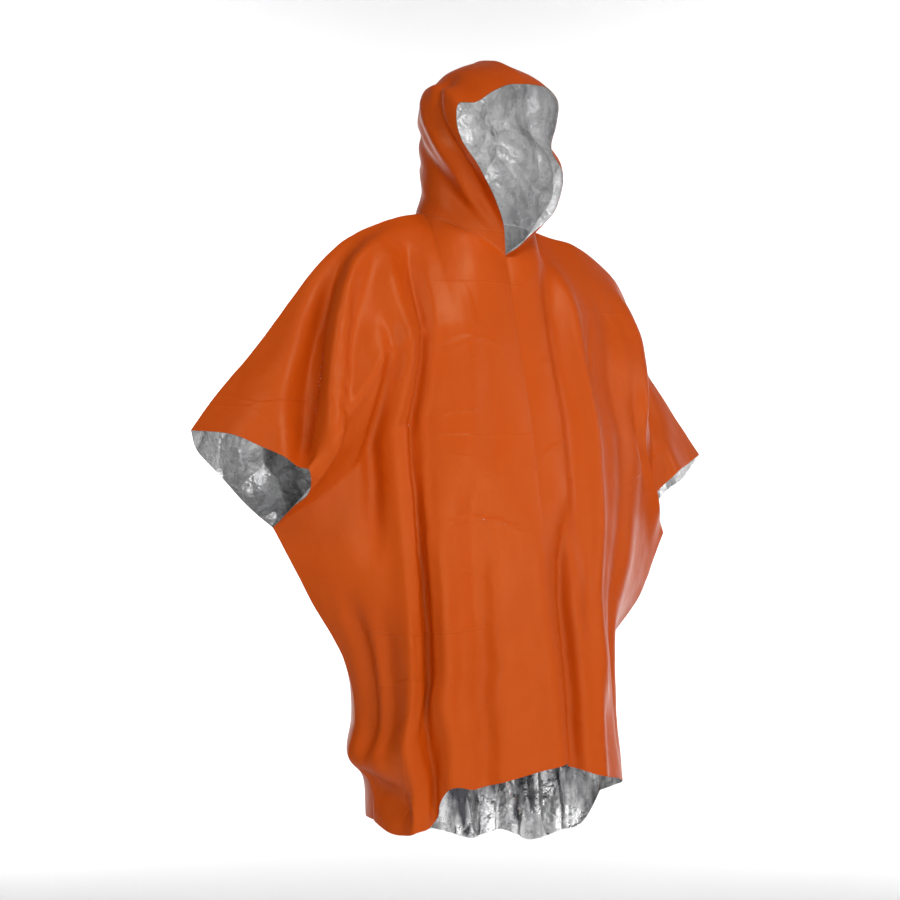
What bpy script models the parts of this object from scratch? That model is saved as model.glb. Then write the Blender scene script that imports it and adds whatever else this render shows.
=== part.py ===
"""Hooded poncho of coated film with a metallised inside, in the hollow form that it has when worn.

Metres. +X is the wearer's left, -Y is the front, +Z is up. The origin is on the line of the shoulders,
at the middle of the neck. Every piece is a wall of one thickness: a grid of outer points that is worked
out from the sizes and tables below, and the same grid moved inwards.
"""
import math
from collections import namedtuple

import bmesh
import bpy
import numpy as np

# ---------------------------------------------------------------- driving dimensions
WALL = 0.0015
SEAM_GAP = 0.0003
SHARP_ANGLE = math.radians(60.0)
LEAST_MITRE = 0.45          # keeps the wall's mitre short where a seam is a sharp fold

NECK_HALF_WIDTH = 0.105
NECK_HALF_DEPTH = 0.084
NECK_CENTRE_Y = 0.006
NECK_FRONT_Z = -0.004
NECK_BACK_Z = 0.092
NECK_RISE = 0.40            # how soon the neckline climbs from the front to the shoulders

NECK_SHARE = 0.28           # share of a half panel's columns that hang from the neckline
UNDERARM_SHARE = 0.38       # share of a side's length, from the sleeve tip to the underarm
FRONT_SQUARENESS = 2.05     # of the hem seen from above: 2 is an ellipse, more is squarer
BACK_SQUARENESS = 1.75
HEM_SAMPLES = 181           # points along the hem's quarter, by which its length is measured
SHOULDER_ROUNDING = 0.055
CORNER_SPREAD = 0.14        # shares over which the neckline's corner is smoothed lower down
CORNER_END = 0.50           # share beyond which it fades again
CORNER_DROP = 0.20          # share of the drop below which it is smooth
CHEST_FULLNESS = 3.6        # how soon the cloth reaches its full depth below the shoulder
LEAN_RIGHT = 0.20           # how far the columns lean towards the side between the top and the hem
LEAN_LEFT = 0.05
SIDE_PULL = 1.6             # how closely the sleeve's and the side's shape stay at the side

CROWN_SWELL = 0.010         # how far the hood's top stands out, at its level and over its spread
CROWN_LEVEL = 0.84
CROWN_SPREAD = 0.12
CROWN_START = 0.18          # share of the hood over which it dies out towards the crown seam
TEMPLE_TUCK = 0.008         # how far the hood lies in below it
TEMPLE_LEVEL = 0.62
TEMPLE_SPREAD = 0.20

FOLD_START = 0.06           # share of a panel over which folds die out towards its top and its sides
FOLD_FADE = 0.12            # share of a panel over which a fold begins and ends
FRONT_TUCK = 0.0024         # how far the left front lies inside the right front
TUCK_START = 0.02
TUCK_END = 0.16             # share of the left front over which it comes out again

# ---------------------------------------------------------------- grid
NECK_FRONT_CELLS = 6
NECK_BACK_CELLS = 6
RIDGE_CELLS = 24
UNDERLAP_CELLS = 2
SLEEVE_ROWS = 14
ROW_CROWDING = 1.25         # above 1, the upper rows lie closer together
SIDE_ROWS = 14
HOOD_ROWS = 15
HALF_CELLS = NECK_FRONT_CELLS + RIDGE_CELLS
BODY_ROWS = SLEEVE_ROWS + SIDE_ROWS

# ---------------------------------------------------------------- directions and places inside
FORWARDS = np.array([0.0, -1.0, 0.0])
BODY_INSIDE = np.array([0.0, 0.0, -0.55])
HOOD_INSIDE = np.array([0.0, -0.02, 0.13])

# ---------------------------------------------------------------- tables
Ridge = namedtuple("Ridge", "x_right x_left y z_right z_left")
SHOULDER_RIDGE = (
    Ridge(0.150, 0.157, 0.008, 0.058, 0.058),
    Ridge(0.200, 0.205, 0.008, 0.038, 0.051),
    Ridge(0.250, 0.255, 0.010, 0.008, 0.031),
    Ridge(0.297, 0.305, 0.012, -0.036, -0.003),
    Ridge(0.340, 0.340, 0.015, -0.092, -0.052),
    Ridge(0.400, 0.368, 0.018, -0.173, -0.136),
    Ridge(0.460, 0.434, 0.020, -0.246, -0.222),
    Ridge(0.506, 0.506, 0.018, -0.306, -0.306),
)

Centre = namedtuple("Centre", "share x y z")
FRONT_EDGE = (
    Centre(0.00, 0.003, -0.078, -0.004),
    Centre(0.07, -0.002, -0.098, -0.056),
    Centre(0.17, -0.001, -0.117, -0.135),
    Centre(0.34, 0.003, -0.147, -0.271),
    Centre(0.53, 0.004, -0.174, -0.428),
    Centre(0.69, 0.006, -0.184, -0.560),
    Centre(0.82, 0.023, -0.188, -0.655),
    Centre(1.00, 0.041, -0.190, -0.804),
)
BACK_LINE = (
    Centre(0.00, 0.000, 0.090, 0.092),
    Centre(0.08, 0.000, 0.117, 0.020),
    Centre(0.25, 0.000, 0.132, -0.160),
    Centre(0.50, 0.000, 0.142, -0.430),
    Centre(0.75, 0.004, 0.150, -0.700),
    Centre(1.00, 0.010, 0.156, -0.962),
)

Edge = namedtuple("Edge", "x y z")
SLEEVE_TIP = Edge(0.506, 0.018, -0.306)
UNDERARM = Edge(0.386, -0.018, -0.452)
SLEEVE_EDGES = {
    ("front", -1): (Edge(0.460, -0.039, -0.316), Edge(0.425, -0.070, -0.336), Edge(0.392, -0.112, -0.357),
                    Edge(0.380, -0.126, -0.363), Edge(0.374, -0.112, -0.385), Edge(0.380, -0.092, -0.410),
                    Edge(0.382, -0.055, -0.431)),
    ("front", 1): (Edge(0.455, -0.008, -0.326), Edge(0.400, -0.040, -0.346), Edge(0.363, -0.030, -0.392)),
    ("back", -1): (Edge(0.477, 0.060, -0.333), Edge(0.430, 0.082, -0.368), Edge(0.397, 0.052, -0.415)),
    ("back", 1): (Edge(0.482, 0.042, -0.352), Edge(0.446, 0.036, -0.370), Edge(0.404, 0.034, -0.414)),
}
Side = namedtuple("Side", "x_right x_left y z_right z_left")
SIDE_SEAM = (
    Side(0.322, 0.328, -0.018, -0.560, -0.565),
    Side(0.260, 0.248, -0.016, -0.660, -0.660),
    Side(0.237, 0.236, -0.006, -0.755, -0.760),
    Side(0.245, 0.244, -0.002, -0.806, -0.830),
    Side(0.208, 0.248, -0.004, -0.846, -0.862),
    Side(0.200, 0.250, -0.004, -0.905, -0.895),
)

Hem = namedtuple("Hem", "share z_right z_left")
FRONT_HEM = (
    Hem(0.00, -0.814, -0.814),
    Hem(0.20, -0.828, -0.838),
    Hem(0.45, -0.849, -0.852),
    Hem(0.61, -0.863, -0.863),
    Hem(0.66, -0.905, -0.867),
    Hem(0.72, -0.915, -0.871),
    Hem(0.82, -0.922, -0.878),
    Hem(1.00, -0.905, -0.895),
)
BACK_HEM = (
    Hem(0.00, -0.960, -0.960),
    Hem(0.10, -0.959, -0.969),
    Hem(0.24, -0.955, -0.980),
    Hem(0.42, -0.942, -0.971),
    Hem(0.56, -0.928, -0.984),
    Hem(0.75, -0.910, -0.971),
    Hem(0.88, -0.905, -0.952),
    Hem(1.00, -0.905, -0.895),
)

HEMS = {"front": (FRONT_HEM, FRONT_SQUARENESS), "back": (BACK_HEM, BACK_SQUARENESS)}

Opening = namedtuple("Opening", "x y z")
HOOD_EDGES = {
    -1: (
        Opening(-0.010, -0.092, 0.033),
        Opening(-0.034, -0.106, 0.070),
        Opening(-0.080, -0.124, 0.121),
        Opening(-0.103, -0.104, 0.172),
        Opening(-0.107, -0.097, 0.205),
        Opening(-0.103, -0.098, 0.229),
        Opening(-0.080, -0.115, 0.231),
        Opening(-0.060, -0.130, 0.247),
        Opening(-0.036, -0.140, 0.259),
    ),
    1: (
        Opening(0.022, -0.090, 0.010),
        Opening(0.046, -0.096, 0.034),
        Opening(0.086, -0.106, 0.080),
        Opening(0.096, -0.112, 0.142),
        Opening(0.078, -0.106, 0.180),
        Opening(0.084, -0.112, 0.218),
        Opening(0.076, -0.128, 0.251),
        Opening(0.042, -0.142, 0.266),
    ),
}
Crown = namedtuple("Crown", "x y z")
BRIM_CENTRE = Crown(0.000, -0.147, 0.264)
CROWN_REAR = Crown(0.000, 0.066, 0.314)
CROWN_SEAM = (BRIM_CENTRE, Crown(0.000, -0.098, 0.306), Crown(0.000, -0.040, 0.334),
              Crown(0.000, 0.020, 0.341), CROWN_REAR)
NAPE_SEAM = (Crown(0.000, 0.090, 0.092), Crown(0.000, 0.100, 0.140), Crown(0.000, 0.110, 0.200),
             Crown(0.000, 0.100, 0.265), CROWN_REAR)

# A fold is a soft ridge (depth above 0) or trough along a line between two places. c is the share across
# from the middle, below 0 on the wearer's right, and t is the share down from the top to the hem.
Fold = namedtuple("Fold", "name c_top t_top c_low t_low width depth")
FRONT_FOLDS = (
    Fold("armpit_trough_right", -0.54, 0.02, -0.99, 0.21, 0.066, -0.030),
    Fold("armpit_ridge_right", -0.43, 0.03, -0.95, 0.26, 0.062, 0.020),
    Fold("side_trough_right", -0.50, 0.18, -0.68, 0.50, 0.050, -0.010),
    Fold("long_fold_crest", -0.425, 0.08, -0.730, 1.00, 0.050, 0.012),
    Fold("long_fold_trough", -0.365, 0.08, -0.665, 1.00, 0.044, -0.015),
    Fold("chest_swell_right", -0.19, 0.10, -0.32, 0.50, 0.080, 0.007),
    Fold("hem_ridge_right", -0.47, 0.55, -0.570, 1.00, 0.055, 0.008),
    Fold("hem_trough_right", -0.30, 0.50, -0.420, 1.00, 0.060, -0.009),
    Fold("edge_ridge", -0.02, 0.55, -0.060, 1.00, 0.055, 0.008),
    Fold("side_dimple_outer", -0.84, 0.58, -0.90, 0.84, 0.045, -0.014),
    Fold("side_dimple_inner", -0.74, 0.64, -0.79, 0.84, 0.045, -0.011),
    Fold("edge_trough_left", 0.13, 0.56, 0.075, 1.00, 0.048, -0.021),
    Fold("hem_ridge_left", 0.28, 0.78, 0.255, 1.00, 0.050, 0.009),
    Fold("long_ridge_left", 0.32, 0.10, 0.345, 0.86, 0.050, 0.012),
    Fold("chest_trough_left", 0.21, 0.12, 0.215, 0.62, 0.050, -0.008),
    Fold("side_trough_left", 0.50, 0.12, 0.56, 0.95, 0.060, -0.010),
    Fold("armpit_ridge_left", 0.60, 0.05, 0.87, 0.40, 0.065, 0.017),
    Fold("armpit_trough_left", 0.72, 0.04, 0.97, 0.27, 0.060, -0.017),
)
BACK_FOLDS = (
    Fold("back_armpit_trough_right", -0.70, 0.03, -0.86, 0.26, 0.060, -0.015),
    Fold("back_armpit_ridge_right", -0.56, 0.03, -0.74, 0.38, 0.065, 0.014),
    Fold("back_trough_right", -0.46, 0.22, -0.62, 1.00, 0.055, -0.011),
    Fold("back_ridge_right", -0.26, 0.16, -0.40, 1.00, 0.060, 0.011),
    Fold("back_middle_trough", -0.03, 0.24, -0.10, 1.00, 0.065, -0.012),
    Fold("back_trough_left", 0.12, 0.20, 0.22, 1.00, 0.055, -0.013),
    Fold("back_ridge_left", 0.32, 0.20, 0.41, 1.00, 0.060, 0.013),
    Fold("back_outer_trough_left", 0.46, 0.26, 0.57, 1.00, 0.055, -0.015),
    Fold("back_outer_ridge_left", 0.60, 0.36, 0.74, 1.00, 0.055, 0.013),
    Fold("back_armpit_ridge_left", 0.58, 0.04, 0.75, 0.36, 0.065, 0.013),
    Fold("back_armpit_trough_left", 0.71, 0.03, 0.86, 0.25, 0.058, -0.016),
)
# On the hood, c is the share from the face edge to the nape and t is the share from the neck to the crown.
HOOD_FOLDS = (
    Fold("cheek_trough", 0.08, 0.12, 0.42, 0.78, 0.070, -0.008),
    Fold("ear_ridge", 0.16, 0.10, 0.60, 0.66, 0.070, 0.006),
    Fold("jaw_trough", 0.24, 0.08, 0.80, 0.50, 0.080, -0.008),
    Fold("nape_ridge", 0.42, 0.06, 0.84, 0.30, 0.090, 0.005),
)

Finish = namedtuple("Finish", "name colour roughness metallic")
FILM_ORANGE = Finish("coated_film_orange", (0.52, 0.075, 0.012, 1.0), 0.42, 0.0)


# ---------------------------------------------------------------- curves
def ease(value):
    """A smooth step from 0 to 1."""
    clipped = np.clip(value, 0.0, 1.0)
    return clipped * clipped * (3.0 - 2.0 * clipped)


def smooth_curve(points, knots=None):
    """A smooth curve through the points, as a function of its share, by chord length or by knots."""
    points = np.array(points, dtype=float)
    if knots is None:
        steps = np.linalg.norm(np.diff(points, axis=0), axis=1)
        knots = np.concatenate(([0.0], np.cumsum(steps))) / steps.sum()
    knots = np.array(knots, dtype=float)
    slopes = np.gradient(points, knots, axis=0)

    def at(share):
        share = np.atleast_1d(np.clip(share, 0.0, 1.0))
        left = np.clip(np.searchsorted(knots, share, side="right") - 1, 0, len(knots) - 2)
        span = (knots[left + 1] - knots[left])[:, None]
        step = (share[:, None] - knots[left][:, None]) / span
        start = (1.0 + 2.0 * step) * (1.0 - step) ** 2 * points[left]
        end = step ** 2 * (3.0 - 2.0 * step) * points[left + 1]
        leave = step * (1.0 - step) ** 2 * span * slopes[left]
        arrive = step ** 2 * (step - 1.0) * span * slopes[left + 1]
        return start + end + leave + arrive

    return at


def neckline(turn):
    """Points of the neckline. The turn is 0 at the front, a quarter at the side and a half at the nape."""
    angle = 2.0 * math.pi * np.asarray(turn, dtype=float)
    rise = ((1.0 - np.cos(angle)) / 2.0) ** NECK_RISE
    x = NECK_HALF_WIDTH * np.sin(angle)
    y = NECK_CENTRE_Y - NECK_HALF_DEPTH * np.cos(angle)
    z = NECK_FRONT_Z + (NECK_BACK_Z - NECK_FRONT_Z) * rise
    return np.stack([x, y, z], axis=-1)


def shoulder_ridge(side):
    """The line along the shoulder and the top of the arm, from the neck to the sleeve's tip."""
    start = neckline(0.25)
    rows = [(start[0], start[1], start[2])]
    if side < 0:
        rows += [(row.x_right, row.y, row.z_right) for row in SHOULDER_RIDGE]
    else:
        rows += [(row.x_left, row.y, row.z_left) for row in SHOULDER_RIDGE]
    return smooth_curve([(side * x, y, z) for x, y, z in rows])


def top_edge(side, shares, face):
    """Upper edge of a half panel: the neckline, then the shoulder ridge."""
    along_neck = np.clip(shares / NECK_SHARE, -1.0, 1.0) * 0.25
    turn = along_neck if face == "front" else 0.5 - along_neck
    neck = neckline(turn) * np.array([side, 1.0, 1.0])
    along_ridge = (shares - NECK_SHARE) / (1.0 - NECK_SHARE)
    ridge = shoulder_ridge(side)(along_ridge)
    return np.where((shares <= NECK_SHARE)[:, None], neck, ridge)


def side_edge(side, drops, face):
    """Outer edge of a half panel: the sleeve's open edge, then the side seam."""
    sleeve_rows = (SLEEVE_TIP,) + SLEEVE_EDGES[(face, side)] + (UNDERARM,)
    sleeve = smooth_curve([(side * row.x, row.y, row.z) for row in sleeve_rows])
    seam_rows = [(side * UNDERARM.x, UNDERARM.y, UNDERARM.z)]
    for row in SIDE_SEAM:
        x = row.x_right if side < 0 else row.x_left
        z = row.z_right if side < 0 else row.z_left
        seam_rows.append((side * x, row.y, z))
    seam = smooth_curve(seam_rows)
    on_sleeve = sleeve(drops / UNDERARM_SHARE)
    on_seam = seam((drops - UNDERARM_SHARE) / (1.0 - UNDERARM_SHARE))
    return np.where((drops <= UNDERARM_SHARE)[:, None], on_sleeve, on_seam)


def soft_top_edge(side, shares, face):
    """The upper edge without its corner at the neck, as the cloth lies lower down."""
    inside = np.abs(shares)
    spread = CORNER_SPREAD * ease(inside / NECK_SHARE) * (1.0 - ease((inside - CORNER_END) / NECK_SHARE))
    offsets = (-1.0, -0.5, 0.0, 0.5, 1.0)
    return sum(top_edge(side, shares + spread * offset, face) for offset in offsets) / len(offsets)


def centre_edge(rows, drops):
    """Middle line of the front or the back, from the neck to the hem."""
    return smooth_curve([(row.x, row.y, row.z) for row in rows], [row.share for row in rows])(drops)


def hem_edge(side, shares, centre, corner, rows, squareness):
    """Hem of a half panel: a quarter of a squared oval, at the heights that the rows give."""
    turns = np.linspace(0.0, math.pi / 2.0, HEM_SAMPLES)
    power = 2.0 / squareness
    x = centre[0] + (corner[0] - centre[0]) * np.sin(turns) ** power
    y = corner[1] + (centre[1] - corner[1]) * np.cos(turns) ** power
    lengths = np.concatenate(([0.0], np.cumsum(np.hypot(np.diff(x), np.diff(y)))))
    lengths /= lengths[-1]
    heights = [row.z_right if side < 0 else row.z_left for row in rows]
    inside = np.abs(shares)
    mirrored = np.where(shares < 0.0, -1.0, 1.0)
    hem_x = centre[0] + mirrored * (np.interp(inside, lengths, x) - centre[0])
    hem_y = np.interp(inside, lengths, y)
    height = smooth_curve(np.array(heights)[:, None], [row.share for row in rows])(inside)[:, 0]
    return np.stack([hem_x, hem_y, height], axis=-1)


# ---------------------------------------------------------------- the body's surface
def half_panel(face, side, shares, drops):
    """Points of a half panel. Shares run from the middle to the side, drops from the top to the hem."""
    ends = np.array([0.0, 1.0])
    centre_line = FRONT_EDGE if face == "front" else BACK_LINE
    centre = centre_edge(centre_line, drops)
    outer = side_edge(side, drops, face)
    centre_top, centre_hem = centre_edge(centre_line, ends)
    outer_top, outer_hem = side_edge(side, ends, face)
    corner_fade = ease(drops / CORNER_DROP)[:, None, None]
    top = (1.0 - corner_fade) * top_edge(side, shares, face) + corner_fade * soft_top_edge(side, shares, face)
    if face == "front":
        top = top + (1.0 - ease(np.abs(shares) / NECK_SHARE))[:, None] * (centre_top - neckline(0.0))
    hem_rows, squareness = HEMS[face]
    hem = hem_edge(side, shares, centre_hem, outer_hem, hem_rows, squareness)

    fuller = 1.0 - (1.0 - drops) ** CHEST_FULLNESS
    sinking = drops ** 2 / (drops + SHOULDER_ROUNDING) * (1.0 + SHOULDER_ROUNDING)
    down = np.stack([drops, fuller, sinking], axis=-1)[:, None, :]
    across = (np.abs(shares) ** SIDE_PULL)[None, :, None]
    ruled = (1.0 - down) * top + down * hem[None, :, :]
    down = down[:, 0, :]
    ruled_centre = (1.0 - down) * centre_top + down * centre_hem
    ruled_side = (1.0 - down) * outer_top + down * outer_hem
    points = ruled + (1.0 - across) * (centre - ruled_centre)[:, None, :]
    return points + across * (outer - ruled_side)[:, None, :]


def fold_relief(folds, shares, drops, sleeve_end):
    """Outward relief of the folds, a soft ridge or trough along each row's line. It dies out towards
    the seams: the top, and the sides below the sleeve's end."""
    relief = np.zeros((len(drops), len(shares)))
    for fold in folds:
        step = (drops - fold.t_top) / (fold.t_low - fold.t_top)
        middle = fold.c_top + (fold.c_low - fold.c_top) * step
        fade = ease((drops - fold.t_top) / FOLD_FADE + 0.5)
        if fold.t_low < 1.0:
            fade = fade * ease((fold.t_low - drops) / FOLD_FADE + 0.5)
        away = (shares[None, :] - middle[:, None]) / fold.width
        relief += fold.depth * fade[:, None] * np.exp(-away ** 2)
    joined = ease((drops - sleeve_end) / FOLD_START + 1.0)[:, None]
    at_side = 1.0 - joined * (1.0 - ease((1.0 - np.abs(shares)) / FOLD_START)[None, :])
    return relief * ease(drops / FOLD_START)[:, None] * at_side


def grid_normals(points, outward):
    """Unit normals of a grid, turned to the side of the outward vector."""
    along = np.gradient(points, axis=1)
    down = np.gradient(points, axis=0)
    normals = np.cross(along, down)
    normals /= np.linalg.norm(normals, axis=2, keepdims=True)
    if (normals * outward).sum() < 0.0:
        normals = -normals
    return normals


def leaning(shares, drop):
    """Column places at a drop. The columns lean outwards towards the hem, as the long folds do."""
    lean = np.where(shares < 0.0, -LEAN_RIGHT, LEAN_LEFT)
    return shares + lean * drop * np.sin(np.abs(shares) * math.pi)


def body_sheet(face, shares, drops):
    """The whole front or back as one surface: shares below 0 are the wearer's right side."""
    folds = FRONT_FOLDS if face == "front" else BACK_FOLDS
    rows = []
    relief = []
    for drop in drops:
        places = leaning(shares, drop)
        level = np.array([drop])
        right = half_panel(face, -1, -places[shares < 0.0], level)
        left = half_panel(face, 1, places[shares >= 0.0], level)
        rows.append(np.concatenate([right, left], axis=1))
        relief.append(fold_relief(folds, places, level, UNDERARM_SHARE))
    points = np.concatenate(rows)
    facing = FORWARDS if face == "front" else -FORWARDS
    return points + grid_normals(points, facing) * np.concatenate(relief)[:, :, None]


def half_shares():
    """Column places of a half panel, from the middle to the side."""
    neck = np.linspace(0.0, NECK_SHARE, NECK_FRONT_CELLS + 1)
    ridge = np.linspace(NECK_SHARE, 1.0, RIDGE_CELLS + 1)
    return np.concatenate([neck, ridge[1:]])


def row_drops():
    """Row places, from the top to the hem, with one row at the underarm."""
    sleeve = np.linspace(0.0, 1.0, SLEEVE_ROWS + 1) ** ROW_CROWDING * UNDERARM_SHARE
    side = np.linspace(UNDERARM_SHARE, 1.0, SIDE_ROWS + 1)
    return np.concatenate([sleeve, side[1:]])


# ---------------------------------------------------------------- the hood's surface
def hood_half(side, bottom, rows):
    """Points of half the hood between the neckline, the face edge, the crown seam and the nape seam."""
    columns = len(bottom) - 1
    around = np.linspace(0.0, 1.0, columns + 1)
    up = np.linspace(0.0, 1.0, rows + 1)
    edge_rows = [tuple(bottom[0])] + [tuple(row) for row in HOOD_EDGES[side]] + [tuple(BRIM_CENTRE)]
    face_edge = smooth_curve(edge_rows)(up)
    nape = smooth_curve([tuple(bottom[-1])] + [tuple(row) for row in NAPE_SEAM[1:]])(up)
    crown = smooth_curve([tuple(row) for row in CROWN_SEAM])(around)
    rise = np.stack([1.0 - (1.0 - up) ** 2, up, np.sin(up * math.pi / 2.0)], axis=-1)
    round_back = 1.0 - np.sqrt(1.0 - around ** 2)
    back = np.stack([round_back, around, around], axis=-1)[None, :, :]
    ruled = (1.0 - rise[:, None, :]) * bottom[None, :, :] + rise[:, None, :] * crown[None, :, :]
    ruled_edge = (1.0 - rise) * bottom[0] + rise * crown[0]
    ruled_nape = (1.0 - rise) * bottom[-1] + rise * crown[-1]
    points = ruled + (1.0 - back) * (face_edge - ruled_edge)[:, None, :]
    points = points + back * (nape - ruled_nape)[:, None, :]
    swell = CROWN_SWELL * np.exp(-((up - CROWN_LEVEL) / CROWN_SPREAD) ** 2)
    tuck = TEMPLE_TUCK * np.exp(-((up - TEMPLE_LEVEL) / TEMPLE_SPREAD) ** 2)
    outward = (swell - tuck) * ease((1.0 - up) / CROWN_START)
    points[:, :, 0] += side * outward[:, None] * np.sin(around * math.pi)[None, :]
    relief = fold_relief(HOOD_FOLDS, around, up, 0.0) * ease((1.0 - up) / FOLD_START)[:, None]
    return points + grid_normals(points, np.array([float(side), 0.0, 0.0])) * relief[:, :, None]


# ---------------------------------------------------------------- walls and seams
class Wall:
    """A grid of outer points, with the vector from each to its inner point."""

    def __init__(self, name, points, outward):
        self.name = name
        self.points = points
        self.inward = -grid_normals(points, outward) * WALL
        self.shift = np.zeros_like(points)


def unit(vector):
    """The vector at length 1."""
    return vector / max(np.linalg.norm(vector), 1e-12)


def seam(first, second, inside, shared):
    """Part two walls along a seam and give both the same mitre. Each is a wall with its seam's cells
    and the cells one step in from them."""
    wall_a, cells_a, next_a = first
    wall_b, cells_b, next_b = second
    line = np.array([wall_a.points[cell] for cell in cells_a])
    run = np.gradient(line, axis=0)
    for index, cell in enumerate(cells_a):
        along = unit(run[index])
        into_a = wall_a.points[next_a[index]] - line[index]
        into_b = wall_b.points[next_b[index]] - line[index]
        into_a = unit(into_a - along * np.dot(into_a, along))
        into_b = unit(into_b - along * np.dot(into_b, along))
        apart = unit(into_a - into_b)
        spread = max(np.linalg.norm(into_a - into_b) / 2.0, LEAST_MITRE)
        mitre = unit(np.cross(along, apart))
        if np.dot(mitre, inside - line[index]) < 0.0:
            mitre = -mitre
        wall_a.shift[cell] += apart * SEAM_GAP / 2.0
        wall_b.shift[cells_b[index]] -= apart * SEAM_GAP / 2.0
        key = tuple(np.round(line[index], 6))
        entry = shared.setdefault(key, [])
        entry.append((mitre * WALL / spread, (wall_a, cell), (wall_b, cells_b[index])))


def settle_mitres(shared):
    """Give all the walls that meet in a seam's point the same way in."""
    for entries in shared.values():
        mean = sum(entry[0] for entry in entries) / len(entries)
        for _, *members in entries:
            for wall, cell in members:
                wall.inward[cell] = mean


def wall_mesh(wall):
    """One closed mesh from a wall's outer and inner points."""
    outer = wall.points + wall.shift
    inner = outer + wall.inward
    rows, columns = outer.shape[0], outer.shape[1]
    mesh = bmesh.new()
    outer_verts = [[mesh.verts.new(outer[r, c]) for c in range(columns)] for r in range(rows)]
    inner_verts = [[mesh.verts.new(inner[r, c]) for c in range(columns)] for r in range(rows)]
    for r in range(rows - 1):
        for c in range(columns - 1):
            corners = ((r, c), (r, c + 1), (r + 1, c + 1), (r + 1, c))
            mesh.faces.new([outer_verts[i][j] for i, j in corners])
            mesh.faces.new([inner_verts[i][j] for i, j in reversed(corners)])
    rim = [(0, c) for c in range(columns)]
    rim += [(r, columns - 1) for r in range(1, rows)]
    rim += [(rows - 1, c) for c in range(columns - 2, -1, -1)]
    rim += [(r, 0) for r in range(rows - 2, 0, -1)]
    for here, there in zip(rim, rim[1:] + rim[:1]):
        mesh.faces.new([outer_verts[there[0]][there[1]], outer_verts[here[0]][here[1]],
                        inner_verts[here[0]][here[1]], inner_verts[there[0]][there[1]]])
    bmesh.ops.triangulate(mesh, faces=mesh.faces[:])
    bmesh.ops.recalc_face_normals(mesh, faces=mesh.faces[:])
    return mesh


def film_material(finish):
    """The coated face of the film."""
    material = bpy.data.materials.new(finish.name)
    material.use_nodes = True
    shader = material.node_tree.nodes["Principled BSDF"]
    shader.inputs["Base Color"].default_value = finish.colour
    shader.inputs["Roughness"].default_value = finish.roughness
    shader.inputs["Metallic"].default_value = finish.metallic
    return material


def add_object(wall, material):
    """Put a wall in the scene as a named object."""
    mesh = wall_mesh(wall)
    data = bpy.data.meshes.new(wall.name)
    mesh.to_mesh(data)
    mesh.free()
    data.shade_smooth()
    data.set_sharp_from_angle(angle=SHARP_ANGLE)
    data.materials.append(material)
    piece = bpy.data.objects.new(wall.name, data)
    bpy.context.scene.collection.objects.link(piece)
    return piece


# ---------------------------------------------------------------- the garment
def body_walls():
    """The two fronts and the back."""
    half = half_shares()
    drops = row_drops()
    shares = np.concatenate([-half[:0:-1], half])
    front = body_sheet("front", shares, drops)
    back = body_sheet("back", shares, drops)
    right = Wall("front_right", front[:, :HALF_CELLS + 1], FORWARDS)
    start = HALF_CELLS - UNDERLAP_CELLS
    tuck = FRONT_TUCK * (1.0 - ease((shares[start:] - TUCK_START) / TUCK_END))
    tucked = front[:, start:] - grid_normals(front, FORWARDS)[:, start:] * tuck[None, :, None]
    return right, Wall("front_left", tucked, FORWARDS), Wall("back", back, -FORWARDS)


def join_side(side, front, first, back, shared):
    """The seams of one shoulder and one side. The front's columns are counted from its first."""
    shoulder = [(0, k) for k in range(NECK_FRONT_CELLS, HALF_CELLS + 1)]
    flank = [(row, HALF_CELLS) for row in range(SLEEVE_ROWS, BODY_ROWS + 1)]
    for cells, down, out in ((shoulder, 1, 0), (flank, 0, -1)):
        pair = []
        for wall, start in ((front, first), (back, HALF_CELLS)):
            line = [(row, start + side * k) for row, k in cells]
            inner = [(row + down, start + side * (k + out)) for row, k in cells]
            pair.append((wall, line, inner))
        seam(pair[0], pair[1], BODY_INSIDE, shared)


def hood_wall(side, front, first, back, shared):
    """Half the hood, raised on the neckline of a front and the back and joined to them."""
    front_cells = [(0, first + side * k) for k in range(NECK_FRONT_CELLS + 1)]
    back_cells = [(0, HALF_CELLS + side * k) for k in range(NECK_BACK_CELLS, -1, -1)]
    bottom = [front.points[cell] for cell in front_cells] + [back.points[cell] for cell in back_cells[1:]]
    name = "hood_right" if side < 0 else "hood_left"
    hood = Wall(name, hood_half(side, np.array(bottom), HOOD_ROWS), np.array([float(side), 0.0, 0.0]))
    for panel, cells, start in ((front, front_cells, 0), (back, back_cells, NECK_FRONT_CELLS)):
        places = range(start, start + len(cells))
        seam((hood, [(0, k) for k in places], [(1, k) for k in places]),
             (panel, cells, [(1, column) for _, column in cells]), HOOD_INSIDE, shared)
    return hood


def join_hood(right, left, shared):
    """The seam over the crown and down to the nape."""
    last = NECK_FRONT_CELLS + NECK_BACK_CELLS
    over = [(HOOD_ROWS, k) for k in range(last + 1)]
    over_inner = [(HOOD_ROWS - 1, min(k, last - 1)) for k in range(last + 1)]
    down = [(row, last) for row in range(HOOD_ROWS - 1, -1, -1)]
    down_inner = [(max(row, 1), last - 1) for row in range(HOOD_ROWS - 1, -1, -1)]
    cells = over + down
    inner = over_inner + down_inner
    seam((right, cells, inner), (left, cells, inner), HOOD_INSIDE, shared)


def main():
    """Build every piece."""
    for old in list(bpy.data.objects):
        bpy.data.objects.remove(old)
    shared = {}
    right, left, back = body_walls()
    join_side(-1, right, HALF_CELLS, back, shared)
    join_side(1, left, UNDERLAP_CELLS, back, shared)
    hood_right = hood_wall(-1, right, HALF_CELLS, back, shared)
    hood_left = hood_wall(1, left, UNDERLAP_CELLS, back, shared)
    join_hood(hood_right, hood_left, shared)
    settle_mitres(shared)
    film = film_material(FILM_ORANGE)
    for wall in (right, left, back, hood_right, hood_left):
        add_object(wall, film)


main()
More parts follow.
